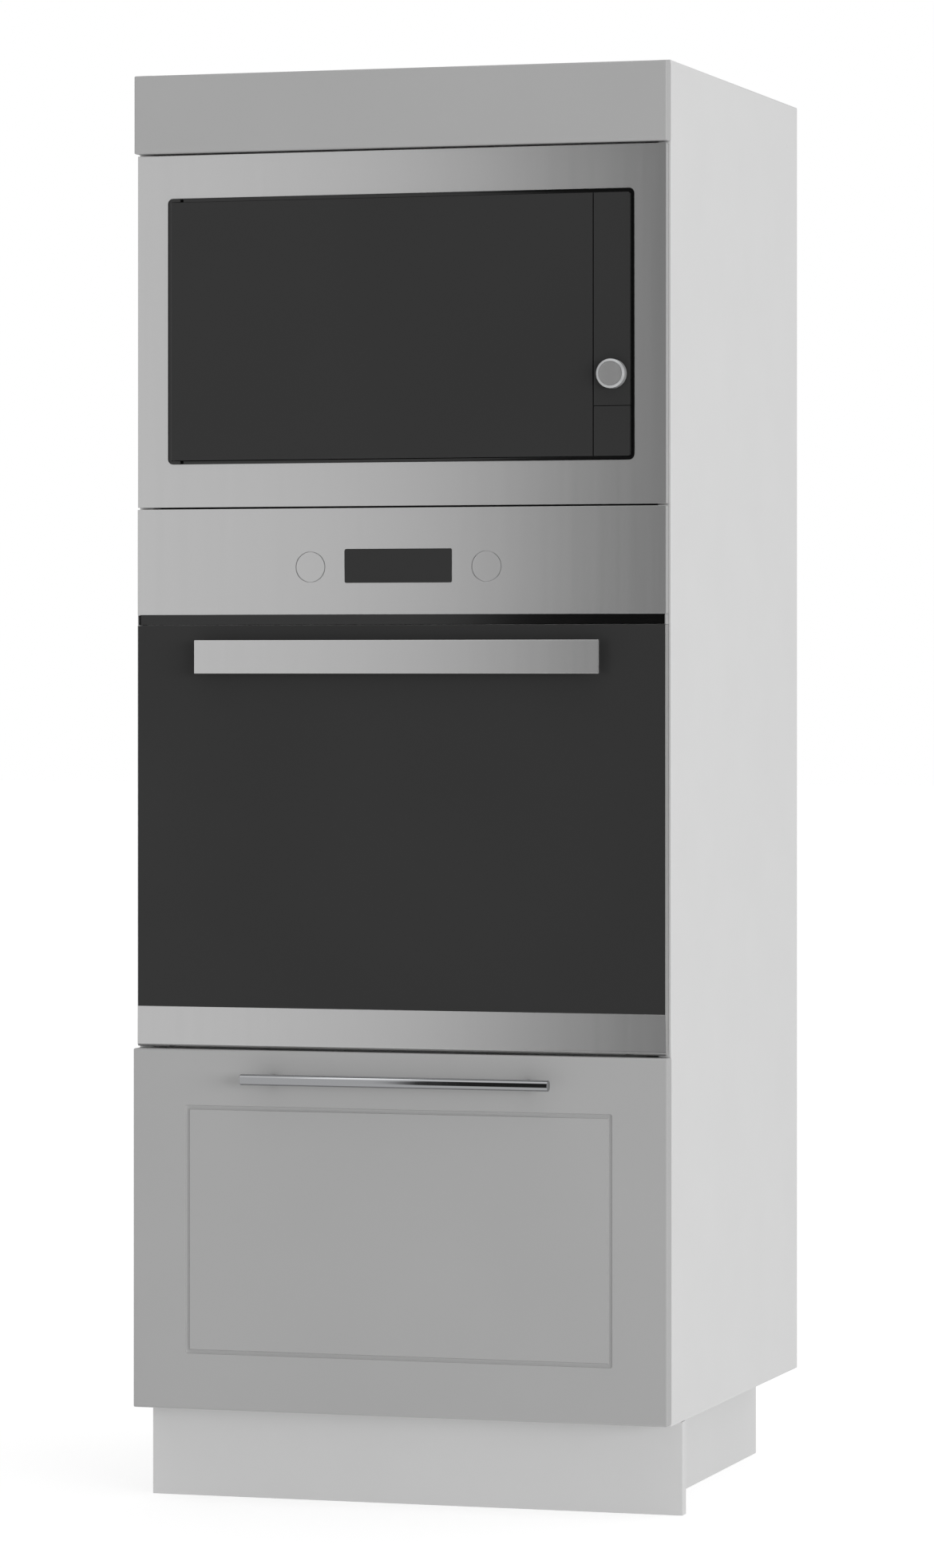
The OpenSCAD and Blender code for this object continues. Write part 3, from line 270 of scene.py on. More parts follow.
def grain(tree, size_mm, detail=2.0):
    """Noise from 0 to 1 with grains of that size in mm along X, Y and Z."""
    place = add(tree, "ShaderNodeMapping", {0: add(tree, "ShaderNodeTexCoord").outputs["Object"],
                                            "Scale": [1000 / s for s in size_mm]})
    noise = {"Vector": place.outputs[0], "Scale": 1.0, "Detail": detail}
    return add(tree, "ShaderNodeTexNoise", noise).outputs[0]


def cells(tree, size_mm):
    """The outputs of Voronoi cells of that size in mm."""
    place = add(tree, "ShaderNodeTexCoord").outputs["Object"]
    return add(tree, "ShaderNodeTexVoronoi", {"Vector": place, "Scale": 1000 / size_mm}).outputs


print("a 0.5 mm grain has a scale of", 1000 / 0.5, "per metre")

# %% [markdown]
# Four more steps come back in the finishes: the colour wanders a little between two values, the
# roughness does, the surface is slightly uneven, which a Bump node shows without more geometry, and
# a sharp mirror shades as if it were turned a little.

# %% Vary colour, roughness and height with a pattern
def vary_colour(tree, shader, pattern, low, high):
    """The colour goes from one hex value to another as the pattern goes from 0 to 1."""
    mix = add(tree, "ShaderNodeMix", {0: pattern, 6: linear(low), 7: linear(high)},
              data_type="RGBA")
    tree.links.new(mix.outputs[2], shader.inputs["Base Color"])


def vary_roughness(tree, shader, pattern, low, high):
    """The roughness goes from low to high as the pattern goes from 0 to 1."""
    spread = add(tree, "ShaderNodeMapRange", {"Value": pattern, "To Min": low, "To Max": high})
    tree.links.new(spread.outputs["Result"], shader.inputs["Roughness"])


def emboss(tree, shader, pattern, depth_mm):
    """The surface rises by that depth where the pattern is 1."""
    bump = add(tree, "ShaderNodeBump", {"Height": pattern, "Distance": depth_mm * mm,
                                        "Strength": 1.0})
    tree.links.new(bump.outputs["Normal"], shader.inputs["Normal"])


def turn_normal(tree, shader, degrees):
    """The surface shades as if it were turned about the vertical by that angle."""
    normal = add(tree, "ShaderNodeNewGeometry").outputs["Normal"]
    bent = add(tree, "ShaderNodeVectorRotate", {"Vector": normal, "Angle": radians(degrees)},
               rotation_type="Z_AXIS")
    tree.links.new(bent.outputs[0], shader.inputs["Normal"])


finishes = {}
print("finishes so far:", len(finishes))

# %% [markdown]
# ### White board
#
# Melamine-faced chipboard is resin-soaked paper pressed on chips with a textured plate. The eye
# gets an even white with a soft sheen and a fine pearl texture of about 0.8 mm.

# %% White melamine board and white-faced hardboard
material, tree, shader = finish("white_melamine_board_pearl", "D3D3D3", 0.48)
vary_colour(tree, shader, grain(tree, (90, 90, 90)), "D1D1D1", "D5D5D5")
pearl = grain(tree, (0.8, 0.8, 0.8), 1.0)
vary_roughness(tree, shader, pearl, 0.40, 0.55)
emboss(tree, shader, pearl, 0.02)
finishes["white_board"] = material

# Hardboard is pressed wood fibre. Its painted side is slightly creamy, and the fibres show as soft
# streaks.
material, tree, shader = finish("white_painted_hardboard", "DCDAD4", 0.6)
fibres = grain(tree, (6, 6, 1.2), 4.0)
vary_colour(tree, shader, fibres, "D4D1C9", "E0DED8")
emboss(tree, shader, fibres, 0.08)
finishes["hardboard"] = material
print("white boards:", [m.name for m in finishes.values()])

# %% [markdown]
# ### Grey lacquer
#
# The drawer front and the fascia are milled from fibreboard and sprayed with satin lacquer. A
# sprayed film is never quite flat: it has low waves of 2 to 3 mm, which break up its soft
# reflections.

# %% Satin grey lacquer
material, tree, shader = finish("satin_grey_lacquer_on_fibreboard", "ACACAC", 0.42,
                                Specular_IOR_Level=0.35)
vary_colour(tree, shader, grain(tree, (160, 160, 160)), "AAAAAA", "AEAEAE")
emboss(tree, shader, grain(tree, (2.4, 2.4, 2.4), 1.0), 0.008)
finishes["grey_lacquer"] = material
print("lacquer waves of 2.4 mm")

# %% [markdown]
# ### Stainless steel
#
# The sheet is brushed from top to bottom, so its scratches are upright: 0.5 mm wide here and up to
# 60 mm long. Real ones are finer, but then they wouldn't show in the picture. Each scratch is a
# little paler or darker than its neighbour, and broader bands, 9 mm wide, vary the colour and the
# roughness once more.

# %% Brushed stainless steel and plain stainless sheet
share_of_bands = 0.85
material, tree, shader = finish("stainless_steel_brushed_upright", "C4C4C4", 0.14, 0.87)
strokes = grain(tree, (0.5, 0.5, 60), 3.0)
bands = grain(tree, (9, 9, 400), 1.0)
streaks = add(tree, "ShaderNodeMix", {0: share_of_bands, 2: strokes, 3: bands}).outputs[0]
vary_colour(tree, shader, streaks, "C0C0C0", "C7C7C7")
vary_roughness(tree, shader, bands, 0.13, 0.15)
finishes["brushed_steel"] = material

material, tree, shader = finish("stainless_sheet_mill_finish", "BEBEBD", 0.32, 1.0)
rolled = grain(tree, (40, 40, 1.5), 3.0)
vary_colour(tree, shader, rolled, "B6B6B5", "C4C4C3")
vary_roughness(tree, shader, rolled, 0.27, 0.38)
finishes["door_steel"] = material
print("steel strokes 0.5 mm wide and 60 mm long")

# %% [markdown]
# ### Glass in front of the appliances
#
# The oven door and the microwave door are clear glass with a dark grey enamel fired on the back,
# and an etched front that hardly mirrors. They look an even charcoal. The strip above the oven door
# and the surround of the microwave are gloss black, so they mirror the room and fade from grey to
# black. A sharp mirror shows the end of the pale wall a little beside the place where blurred steel
# shows it, so the gloss black shades as if turned by 0.28 degrees about the vertical.

# %% Charcoal enamelled glass and gloss black
material, tree, shader = finish("charcoal_back_enamelled_glass", "343434", 0.22,
                                Specular_IOR_Level=0.12)
vary_colour(tree, shader, grain(tree, (200, 200, 200), 1.0), "323232", "363636")
vary_roughness(tree, shader, grain(tree, (60, 60, 60)), 0.18, 0.28)
finishes["black_glass"] = material

gloss_black, tree, shader = finish("gloss_black_moulded_abs", "0E0E0E", 0.06)
vary_roughness(tree, shader, grain(tree, (30, 30, 30)), 0.05, 0.08)
turn_normal(tree, shader, 0.28)
print("door glass is", finishes["black_glass"].name)

# %% [markdown]
# ### Glass that light goes through
#
# The oven door's inner pane has a thin metal-oxide film that sends heat back, which tints it grey.
# The lamp's cover is pressed borosilicate glass, slightly milky. The turntable is clear soda glass.

# %% Inner pane, lamp cover and turntable
material, tree, shader = finish("heat_reflecting_tinted_glass", "6E6E70", 0.05,
                                Transmission_Weight=0.85, IOR=1.52)
vary_roughness(tree, shader, grain(tree, (50, 50, 50)), 0.03, 0.08)
finishes["inner_glass"] = material

material, tree, shader = finish("pressed_borosilicate_milky", "F1EEDF", 0.25,
                                Transmission_Weight=0.6, IOR=1.47)
vary_roughness(tree, shader, grain(tree, (4, 4, 4)), 0.15, 0.35)
finishes["lamp_glass"] = material

material, tree, shader = finish("clear_pressed_soda_glass", "E4F0EC", 0.04,
                                Transmission_Weight=0.9, IOR=1.52)
emboss(tree, shader, grain(tree, (18, 18, 18), 1.0), 0.02)
finishes["turntable_glass"] = material
print("see-through glass: inner pane, lamp cover, turntable")

# %% [markdown]
# ### Chrome, zinc and the heating rod
#
# Chrome plate mirrors sharply, with a few duller smudges, and is turned by 0.7 degrees like the
# gloss black. Satin chrome is blasted before it is plated, so it hardly mirrors. Zinc-plated steel
# sheet shows spangle: zinc crystals some 9 mm wide, each with its own grey, which Voronoi cells
# give. The heating rod is a steel tube that its own heat has tinted brown.

# %% Chrome plate, galvanised sheet and heat-tinted steel
material, tree, shader = finish("polished_chrome_plate", "9FA0A2", 0.07, 1.0)
vary_roughness(tree, shader, grain(tree, (25, 25, 25), 3.0), 0.02, 0.05)
turn_normal(tree, shader, 0.7)
finishes["chrome"] = material

satin_chrome, tree, shader = finish("satin_chrome_on_die_cast_zinc", "BEBFC0", 0.34, 0.40)
vary_roughness(tree, shader, grain(tree, (0.8, 0.8, 0.8)), 0.30, 0.38)

crystal_mm = 9
material, tree, shader = finish("zinc_plated_steel_spangle", "B4B7BB", 0.38, 1.0)
crystal_colour = cells(tree, crystal_mm)["Color"]
cell_grey = add(tree, "ShaderNodeSeparateColor", {0: crystal_colour}).outputs[0]
vary_colour(tree, shader, cell_grey, "A4A8AC", "C3C6C9")
vary_roughness(tree, shader, cell_grey, 0.30, 0.46)
finishes["zinc_plate"] = material

material, tree, shader = finish("heat_tinted_steel_sheath", "6A625A", 0.45, 1.0)
vary_colour(tree, shader, grain(tree, (14, 14, 14), 3.0), "4C443E", "7C7268")
emboss(tree, shader, grain(tree, (0.6, 0.6, 0.6)), 0.02)
finishes["heating_rod"] = material
print("zinc crystals of", crystal_mm, "mm")

# %% [markdown]
# ### Enamel, paint, plastic and rubber
#
# The oven's inside is vitreous enamel: dark glass fired on steel, with pale flecks about a
# millimetre wide. The microwave's inside and the drawer's sides are powder-coated, which leaves the
# fine orange-peel of melted powder. Hidden plastic parts are moulded with a spark-eroded texture.

# %% Oven enamel with flecks
fleck_pitch_mm, fleck_edge = 4.5, (0.10, 0.16)
material, tree, shader = finish("vitreous_enamel_flecked", "25272B", 0.16)
from_fleck = cells(tree, fleck_pitch_mm)["Distance"]
speck = add(tree, "ShaderNodeMapRange", {"Value": from_fleck, "From Min": fleck_edge[0],
                                         "From Max": fleck_edge[1], "To Min": 1.0, "To Max": 0.0})
vary_colour(tree, shader, speck.outputs["Result"], "25272B", "8C9096")
emboss(tree, shader, grain(tree, (7, 7, 7), 1.0), 0.03)
finishes["oven_enamel"] = material
print("enamel flecks are spaced", fleck_pitch_mm, "mm apart")

# %% Powder coats, moulded plastic and silicone
coats = [
    ("microwave_paint", "pale_epoxy_powder_coat", "DAD9D4", "D6D5D0", "DEDDD8", (0.35, 0.5), 1.6),
    ("drawer_metal", "white_polyester_powder_coat", "E6E6E6", "E2E2E2", "E9E9E9", (0.32, 0.46),
     1.2),
    ("black_plastic", "black_moulded_polypropylene", "232323", "1F1F1F", "282828", (0.42, 0.6),
     0.6),
    ("seal_rubber", "black_silicone_rubber", "1A1A1A", "171717", "1F1F1F", (0.6, 0.8), 1.0)]
for slot_name, name, colour, low, high, gloss, peel_mm in coats:
    material, tree, shader = finish(name, colour, sum(gloss) / 2)
    peel = grain(tree, (peel_mm,) * 3, 1.0)
    vary_colour(tree, shader, grain(tree, (70, 70, 70)), low, high)
    vary_roughness(tree, shader, peel, *gloss)
    emboss(tree, shader, peel, 0.03)
    finishes[slot_name] = material
print("finishes:", len(finishes))

# %% [markdown]
# ## Finishes on the carried-over parts
#
# The record says which finish each part has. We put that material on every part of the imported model
# first, so nothing is left bare, and afterwards replace the parts that deserve finer edges.

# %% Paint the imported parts
slot_of = {part["node"]: part["material_slot"] for part in frame["record"]["subparts"]}
bodies = frame["record"]["behaviour"]["bodies"]
body_of = {part: body for body, members in bodies.items() for part in members}
gloss_parts = {"oven_vent_strip", "microwave_surround"}


def finish_of(node):
    """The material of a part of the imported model."""
    return gloss_black if node in gloss_parts else finishes[slot_of[node]]


for name, part in nodes.items():
    if not part.material_slots:
        part.data.materials.append(finish_of(name))
    for material_slot in part.material_slots:
        material_slot.material = finish_of(name)
print("painted", len(nodes), "parts")

# %% [markdown]
# ## Eased edges
#
# No real edge is perfectly sharp. Board has rounded edge banding, folded sheet has a bend radius,
# and glass has ground arrises. The narrow highlights on them are what tells the eye how thick a
# thing is. First come the tools that turn an edited shape into a plain mesh with smooth shading,
# and a mesh into a finished piece that rides on its body.

# %% From a shape to a finished piece
def plain_mesh(holder):
    """The mesh that an object's modifiers give. The object itself is taken away."""
    evaluated = holder.evaluated_get(bpy.context.evaluated_depsgraph_get())
    mesh = bpy.data.meshes.new_from_object(evaluated)
    bpy.data.objects.remove(holder)
    return mesh


def shaded_mesh(work, name):
    """The edited shape as a mesh, with smooth shading that keeps large flat faces flat."""
    mesh = bpy.data.meshes.new(name)
    work.to_mesh(mesh)
    work.free()
    holder = bpy.data.objects.new("shading_holder", mesh)
    scene.collection.objects.link(holder)
    holder.modifiers.new("weights", "WEIGHTED_NORMAL").keep_sharp = True
    return plain_mesh(holder)


def put_in_place(mesh, name, body, slot_name, nodes_replaced=(), material=None):
    """Makes an object of the mesh that rides on the body and stands for the given parts."""
    mesh.materials.clear()
    mesh.materials.append(material or finishes[slot_name])
    piece = bpy.data.objects.new(name, mesh)
    scene.collection.objects.link(piece)
    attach(piece, body)
    if nodes_replaced:
        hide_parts(*nodes_replaced)
    return piece


print("tools ready: plain_mesh(), shaded_mesh(), put_in_place()")

# %% [markdown]
# Now we can copy a part's mesh, weld its loose triangles, merge the ones that lie flat, and bevel
# the edges. Only edges longer than a given length are bevelled, so a rim of a drilled hole stays
# crisp. A Bevel modifier would do the same, but it narrows every bevel to suit the shortest edge.

# %% Copy a part, weld it and ease its edges
def eased(node, ease_mm, longer_than_mm=0.0):
    """Replaces a part by a copy whose edges of 50 degrees or more are rounded."""
    weld_mm, flat, bevelled, smooth = 0.002, radians(0.4), radians(50), radians(48)
    work = bmesh.new()
    work.from_mesh(nodes[node].data)
    bmesh.ops.remove_doubles(work, verts=work.verts, dist=weld_mm * mm)
    bmesh.ops.dissolve_limit(work, angle_limit=flat, verts=work.verts, edges=work.edges)
    if ease_mm:
        edges = [e for e in work.edges
                 if len(e.link_faces) == 2 and e.calc_length() > longer_than_mm * mm
                 and e.calc_face_angle() > bevelled]
        bmesh.ops.bevel(work, geom=edges, offset=ease_mm * mm, offset_type="OFFSET", segments=2,
                        profile=0.5, affect="EDGES", clamp_overlap=False)
    for e in work.edges:
        e.smooth = len(e.link_faces) == 2 and e.calc_face_angle() < smooth
    for f in work.faces:
        f.smooth = True
    mesh = shaded_mesh(work, node + "_finished")
    return put_in_place(mesh, node + "_finished", body_of[node], slot_of[node], [node],
                        finish_of(node))


print("tool ready: eased()")

# %% [markdown]
# Boards come first. The side panels' thick banding is rounded by 2 mm, the other boards' thin one
# by 0.8 mm. The lacquered fronts already have their own milled rounding in the model, so they are
# only welded, which lets them shade smoothly.

# %% Ease the boards and weld the lacquered fronts
thick_banding_mm, thin_banding_mm, shortest_mm = 2.0, 0.8, 30
side_panels = ["side_panel_left", "side_panel_right"]
boards = ["bottom_panel", "top_panel", "oven_shelf", "microwave_shelf", "niche_top_shelf",
          "fascia_rail", "wall_fixing_rail", "plinth_front", "plinth_returns", "drawer_bottom",
          "drawer_back"]
fronts = ["fascia_panel", "drawer_front"]
for names, banding_mm in [(side_panels, thick_banding_mm), (boards, thin_banding_mm), (fronts, 0)]:
    for name in names:
        eased(name, banding_mm, shortest_mm)
print("boards:", len(side_panels + boards), "fronts:", len(fronts))

# %% [markdown]
# Sheet-metal, glass and plastic parts get smaller radii, from 0.3 to 0.6 mm. The table says for
# each part its radius and the length from which an edge is rounded, both in mm.

# %% Ease steel, glass and plastic parts
ease_table = {
    "oven_control_panel": (0.45, 0.3), "microwave_trim_frame": (0.35, 12),
    "oven_door_trim": (0.35, 6), "oven_door_frame": (0.3, 30), "oven_door_handle": (0.6, 4),
    "oven_front_frame": (0.3, 40), "oven_door_glass": (0.5, 10), "oven_door_inner_glass": (0.4, 10),
    "microwave_door_glass": (0.4, 6), "microwave_door": (0.4, 30),
    "microwave_control_panel": (0.4, 6), "microwave_release_button": (0.4, 6),
    "oven_display": (0.3, 6), "microwave_surround": (0.3, 30), "oven_casing": (0.5, 60),
    "microwave_casing": (0.5, 60), "oven_cavity": (0.4, 60), "microwave_cavity": (0.4, 60),
    "oven_knob_left": (0.45, 0), "oven_knob_right": (0.45, 0)}
for name, (ease_mm, longer_than_mm) in ease_table.items():
    eased(name, ease_mm, longer_than_mm)
print("eased:", ", ".join(ease_table))

# %% [markdown]
# Round and bent parts need no rounding, but they must shade smoothly, so they are welded only.

# %% Weld the round parts
welded = ["leg_sockets", "leg_feet", "plinth_clips", "cam_fittings", "handle_posts",
          "handle_screws", "oven_hinge_arms", "oven_door_seal", "oven_side_racks",
          "oven_wire_shelf", "grill_element", "oven_fan_cover", "oven_fixing_screws",
          "oven_spindle_left", "oven_spindle_right", "microwave_turntable"]
for name in welded:
    eased(name, 0)
print("welded:", len(welded))

# %% [markdown]
# ### The vent between the control panel and the door
#
# Warm air leaves the oven through a slot above the door. What one sees is a black moulded strip
# that lies deeper than the fronts, and at each end of the slot a cheek of folded steel that closes
# it. They are plain bars with rounded edges, so one function makes both.

# %% A bar with rounded edges, the vent strip and its cheeks
def bar_between(name, low, high, ease_mm):
    """Mesh of a bar from its lowest to its highest corner, with rounded edges."""
    work = bmesh.new()
    bmesh.ops.create_cube(work, size=1.0)
    for v in work.verts:
        v.co = Vector([(a + b) / 2 + (b - a) * c for a, b, c in zip(low, high, v.co)])
    bmesh.ops.bevel(work, geom=work.edges[:], offset=ease_mm * mm, segments=2, profile=0.5,
                    affect="EDGES")
    for f in work.faces:
        f.smooth = True
    return shaded_mesh(work, name)


cheek, strip_inset, cheek_setback, cheek_below, cheek_above = (
    size * mm for size in (1.0, 1.1, 0.3, 0.3, 0.2))
low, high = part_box("oven_vent_strip")
aside = Vector((strip_inset, 0, 0))
strip = bar_between("oven_vent_strip_finished", low + aside, high - aside, 0.4)
put_in_place(strip, "oven_vent_strip_finished", "cabinet", slot_of["oven_vent_strip"],
             ["oven_vent_strip"], gloss_black)
front_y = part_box("oven_control_panel")[0].y + cheek_setback
for side, x in [("left", low.x), ("right", high.x - cheek)]:
    plate = bar_between("vent_cheek_" + side, (x, front_y, low.z - cheek_below),
                        (x + cheek, high.y, high.z - cheek_above), 0.2)
    put_in_place(plate, "vent_cheek_" + side, "cabinet", "brushed_steel")
print("vent strip", round((high.z - low.z) / mm, 1), "mm high")

# %% [markdown]
# ### Caps on the microwave's hinge pins
#
# The door of the microwave turns on two pins, held by short tabs above and below its left edge. A
# flat black cap in front of each tab hides it. The caps fill the slit round the door and leave it
# 0.5 mm of air.

# %% Cap the hinge tabs
cap_start, cap_end, cap_proud, cap_depth, cap_air = (
    size * mm for size in (0.2, 11.5, 0.3, 1.0, 0.5))
rim_low, rim_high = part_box("microwave_surround")
door_low, door_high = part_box("microwave_door")
for place, z0, z1 in [("lower", rim_low.z, door_low.z), ("upper", door_high.z, rim_high.z)]:
    cap = bar_between("hinge_cap_" + place,
                      (door_low.x + cap_start, rim_low.y - cap_proud, z0 + cap_air),
                      (door_low.x + cap_end, rim_low.y + cap_depth, z1 - cap_air), 0.2)
    put_in_place(cap, "hinge_cap_" + place, "cabinet", slot_of["microwave_surround"],
                 material=gloss_black)
print("hinge caps", round((z1 - z0 - 2 * cap_air) / mm, 1), "mm high")

# %% [markdown]
# ### A strip of painted shade in the gap
#
# Between the microwave's frame and the oven is a gap of 2 mm, and it looks black. Behind it lies the
# front edge of a white shelf, which would show pale, so a black strip 1 mm thick lies on that edge as
# painted shade: it stands for the shade in the gap. The strip stops short of the side panels.

# %% Lay a black strip of painted shade on the shelf's front edge
# Painted shade: a black strip that darkens the gap in front of the shelf's edge.
shade_strip_inset_x, shade_strip_inset_z, shade_strip_thickness = 2 * mm, 1.5 * mm, 1 * mm
low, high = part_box("microwave_shelf")
shade_strip = bar_between("microwave_shelf_foam_tape",
                   (low.x + shade_strip_inset_x, low.y - shade_strip_thickness, low.z + shade_strip_inset_z),
                   (high.x - shade_strip_inset_x, low.y, high.z - shade_strip_inset_z), 0.3)
put_in_place(shade_strip, "microwave_shelf_foam_tape", "cabinet", "seal_rubber")
print("painted shade strip", round((high.x - low.x - 2 * shade_strip_inset_x) / mm), "mm long")

# %% [markdown]
# ## Turned pieces
#
# Knobs, bars and grommets are made on a lathe or could be. Their shape is one outline turned about
# an axis. The Spin operator can do that, but a short function that lays rings of points is as
# quick, always closes at the poles and never turns the faces inside out. The outline is a list of
# (distance along the axis, radius) in millimetres. A radius of 0 closes an end.

# %% Turn an outline about an axis
def turned(name, outline, centre, axis, sides=72):
    """Mesh of the outline turned about the axis. An outline may end where it began."""
    weld_mm, smooth = 0.001, radians(40)
    along = Vector(axis)
    across = Vector((0, 0, 1))
    third = along.cross(across)
    spokes = [across * cos(2 * pi * i / sides) + third * sin(2 * pi * i / sides)
              for i in range(sides)]
    work = bmesh.new()
    rings = []
    for distance, radius in outline:
        middle = Vector(centre) + along * distance * mm
        rings.append([work.verts.new(middle + spoke * radius * mm)
                      for spoke in (spokes if radius else spokes[:1])])
    for first, second in zip(rings, rings[1:]):
        for i in range(sides):
            quad = [first[i % len(first)], first[(i + 1) % len(first)],
                    second[(i + 1) % len(second)], second[i % len(second)]]
            corners = list(dict.fromkeys(quad))
            if len(corners) > 2:
                work.faces.new(corners).smooth = True
    bmesh.ops.remove_doubles(work, verts=work.verts, dist=weld_mm * mm)
    bmesh.ops.recalc_face_normals(work, faces=work.faces)
    for e in work.edges:
        e.smooth = len(e.link_faces) == 2 and e.calc_face_angle() < smooth
    return shaded_mesh(work, name)


def rounded(start, end, radius, r):
    """Outline of a rod from start to end (mm) whose two rims are rounded by r."""
    steps = 4
    turns = [pi / 2 * k / steps for k in range(steps + 1)]
    near = [(start + r - r * cos(t), radius - r + r * sin(t)) for t in turns]
    far = [(end - r + r * sin(t), radius - r + r * cos(t)) for t in turns]
    return [(start, 0)] + near + far + [(end, 0)]


print("tool ready: turned()")

# %% [markdown]
# ### The drawer's bar handle
#
# It is a solid chromed rod. Its ends are faced off with a small radius, so each end shows a bright
# ring.

# %% Turn the bar handle
low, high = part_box("bar_handle")
bar_length, bar_r, end_radius = (high.x - low.x) / mm, (high.z - low.z) / 2 / mm, 1.0
bar_middle = (low + high) / 2
bar_start = Vector((low.x, bar_middle.y, bar_middle.z))
bar_outline = rounded(0, bar_length, bar_r, end_radius)
bar_mesh = turned("bar_handle_turned", bar_outline, bar_start, (1, 0, 0))
put_in_place(bar_mesh, "bar_handle_turned", "drawer", "chrome", ["bar_handle"])
print("bar", round(bar_length), "mm long, radius", round(bar_r, 1), "mm")

# %% [markdown]
# ### Sleeves of the oven's knobs
#
# Each oven knob slides in a round hole with a hair's play. A thin steel sleeve on the knob closes
# most of it, so one sees a thin grey ring and not a black one.

# %% Turn the sleeves
sunk, short, into_knob, past_knob = 1.0, 0.5, 0.4, 0.2
for side in ("left", "right"):
    low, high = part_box("oven_knob_" + side)
    radius, length = (high.x - low.x) / 2 / mm, (high.y - low.y) / mm
    centre = ((low.x + high.x) / 2, low.y, (low.z + high.z) / 2)
    sleeve_outline = [(sunk, radius - into_knob), (sunk, radius + past_knob),
                      (length - short, radius + past_knob), (length - short, radius - into_knob),
                      (sunk, radius - into_knob)]
    sleeve = turned("oven_knob_sleeve_" + side, sleeve_outline, centre, (0, 1, 0))
    put_in_place(sleeve, "oven_knob_sleeve_" + side, side + "_knob", "brushed_steel")
print("sleeves", round(length - sunk - short, 1), "mm long")

# %% [markdown]
# ### The microwave's knob
#
# The knob is a die-cast body with a rim of satin chrome round a brushed face. The face lies a
# little deeper than the rim, so a thin second line shows inside it. Rim and face have different
# finishes, so they are two pieces. The knob stops 0.4 mm before the panel behind it, and a thinner
# spindle goes on into the panel.

# %% Turn the microwave knob's rim and face
spindle_r, behind_knob = 2.9, 0.4
low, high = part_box("microwave_knob")
knob_r = (high.x - low.x) / 2 / mm
knob_centre = Vector(((low.x + high.x) / 2, low.y, (low.z + high.z) / 2))
knob_depth = (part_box("microwave_control_panel")[0].y - low.y) / mm - behind_knob
spindle_end = (high.y - low.y) / mm
rim_outline = [(0.7, 0), (0.7, knob_r - 2.9), (0.1, knob_r - 2.6), (0.1, knob_r - 2.4),
               (1.5, knob_r - 0.2), (1.8, knob_r), (knob_depth - 0.4, knob_r),
               (knob_depth, knob_r - 0.4), (knob_depth, spindle_r), (spindle_end - 0.4, spindle_r),
               (spindle_end, spindle_r - 0.4), (spindle_end, 0)]
rim = turned("microwave_knob_rim", rim_outline, knob_centre, (0, 1, 0))
put_in_place(rim, "microwave_knob_rim", "microwave_knob", "chrome", ["microwave_knob"],
             satin_chrome)
face_outline = [(0.3, 0), (0.3, knob_r - 3.0), (0.7, knob_r - 2.95), (0.7, 0)]
face = turned("microwave_knob_face", face_outline, knob_centre, (0, 1, 0))
put_in_place(face, "microwave_knob_face", "microwave_knob", "brushed_steel")
print("knob radius", round(knob_r, 2), "mm, depth", round(knob_depth, 1), "mm")

# %% [markdown]
# ### Grommets and the lamp's cover
#
# The cables of both appliances leave through a hole in the casing's rear wall, which a rubber
# grommet lines. The oven lamp sits behind a screwed glass with a stepped rim. Both are turned about
# the Y axis.

# %% Turn the grommets and the lamp's cover
hole_from_side, hole_from_rear, hole_from_top = 60 * mm, 1 * mm, 40 * mm
grommet_outline = [(-1.6, 9.5), (-1.6, 13.2), (-1.2, 14), (-0.4, 14), (0, 13.6), (0, 12), (1, 12),
                   (1, 13.6), (1.4, 14), (2.4, 14), (3.0, 13), (3.0, 10), (2.6, 9.5), (-1.6, 9.5)]
for casing in ["oven_casing", "microwave_casing"]:
    low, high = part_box(casing)
    hole = high - Vector((hole_from_side, hole_from_rear, hole_from_top))
    ring = turned(casing + "_grommet", grommet_outline, hole, (0, 1, 0), sides=48)
    put_in_place(ring, casing + "_grommet", "cabinet", "seal_rubber")

low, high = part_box("oven_lamp")
lamp_r = (high.x - low.x) / 2 / mm
lamp_depth = (high.y - low.y) / mm
lamp_front = ((low.x + high.x) / 2, low.y, (low.z + high.z) / 2)
lamp_outline = [(0, 0), (0, lamp_r * 0.45), (0.8, lamp_r * 0.62), (2.5, lamp_r * 0.74),
                (5, lamp_r * 0.80), (lamp_depth * 0.6, lamp_r * 0.82),
                (lamp_depth * 0.6, lamp_r * 0.97), (lamp_depth * 0.68, lamp_r),
                (lamp_depth, lamp_r), (lamp_depth, 0)]
cover = turned("oven_lamp_cover", lamp_outline, lamp_front, (0, 1, 0))
put_in_place(cover, "oven_lamp_cover", "cabinet", "lamp_glass", ["oven_lamp"])
print("grommets: 2, lamp cover radius", round(lamp_r, 1), "mm")

# %% [markdown]
# ## Repeated pieces with Geometry Nodes
#
# Pressed louvres, plugs and moulded rings repeat by a rule, so a Geometry Nodes tree makes them:
# change one number and the row follows. Each tree has named inputs. A modifier's input is set by
# the socket's identifier. The tree ends with Realize Instances and Set Material, and the result is
# turned to a plain mesh, because an export keeps no instances.

# %% A tree with named inputs, and a mesh from it
def new_tree(name, inputs):
    """A Geometry Nodes tree, its input node, and the identifiers of its inputs (name: type)."""
    tree = bpy.data.node_groups.new(name, "GeometryNodeTree")
    for in_out in ("INPUT", "OUTPUT"):
        tree.interface.new_socket("Geometry", in_out=in_out, socket_type="NodeSocketGeometry")
    keys = {label: tree.interface.new_socket(label, in_out="INPUT", socket_type=kind).identifier
            for label, kind in inputs.items()}
    return tree, add(tree, "NodeGroupInput").outputs, keys


def on_points(tree, points, instance, **more):
    """The instance on each of the points."""
    inputs = {"Points": points, "Instance": instance, **more}
    return add(tree, "GeometryNodeInstanceOnPoints", inputs).outputs[0]


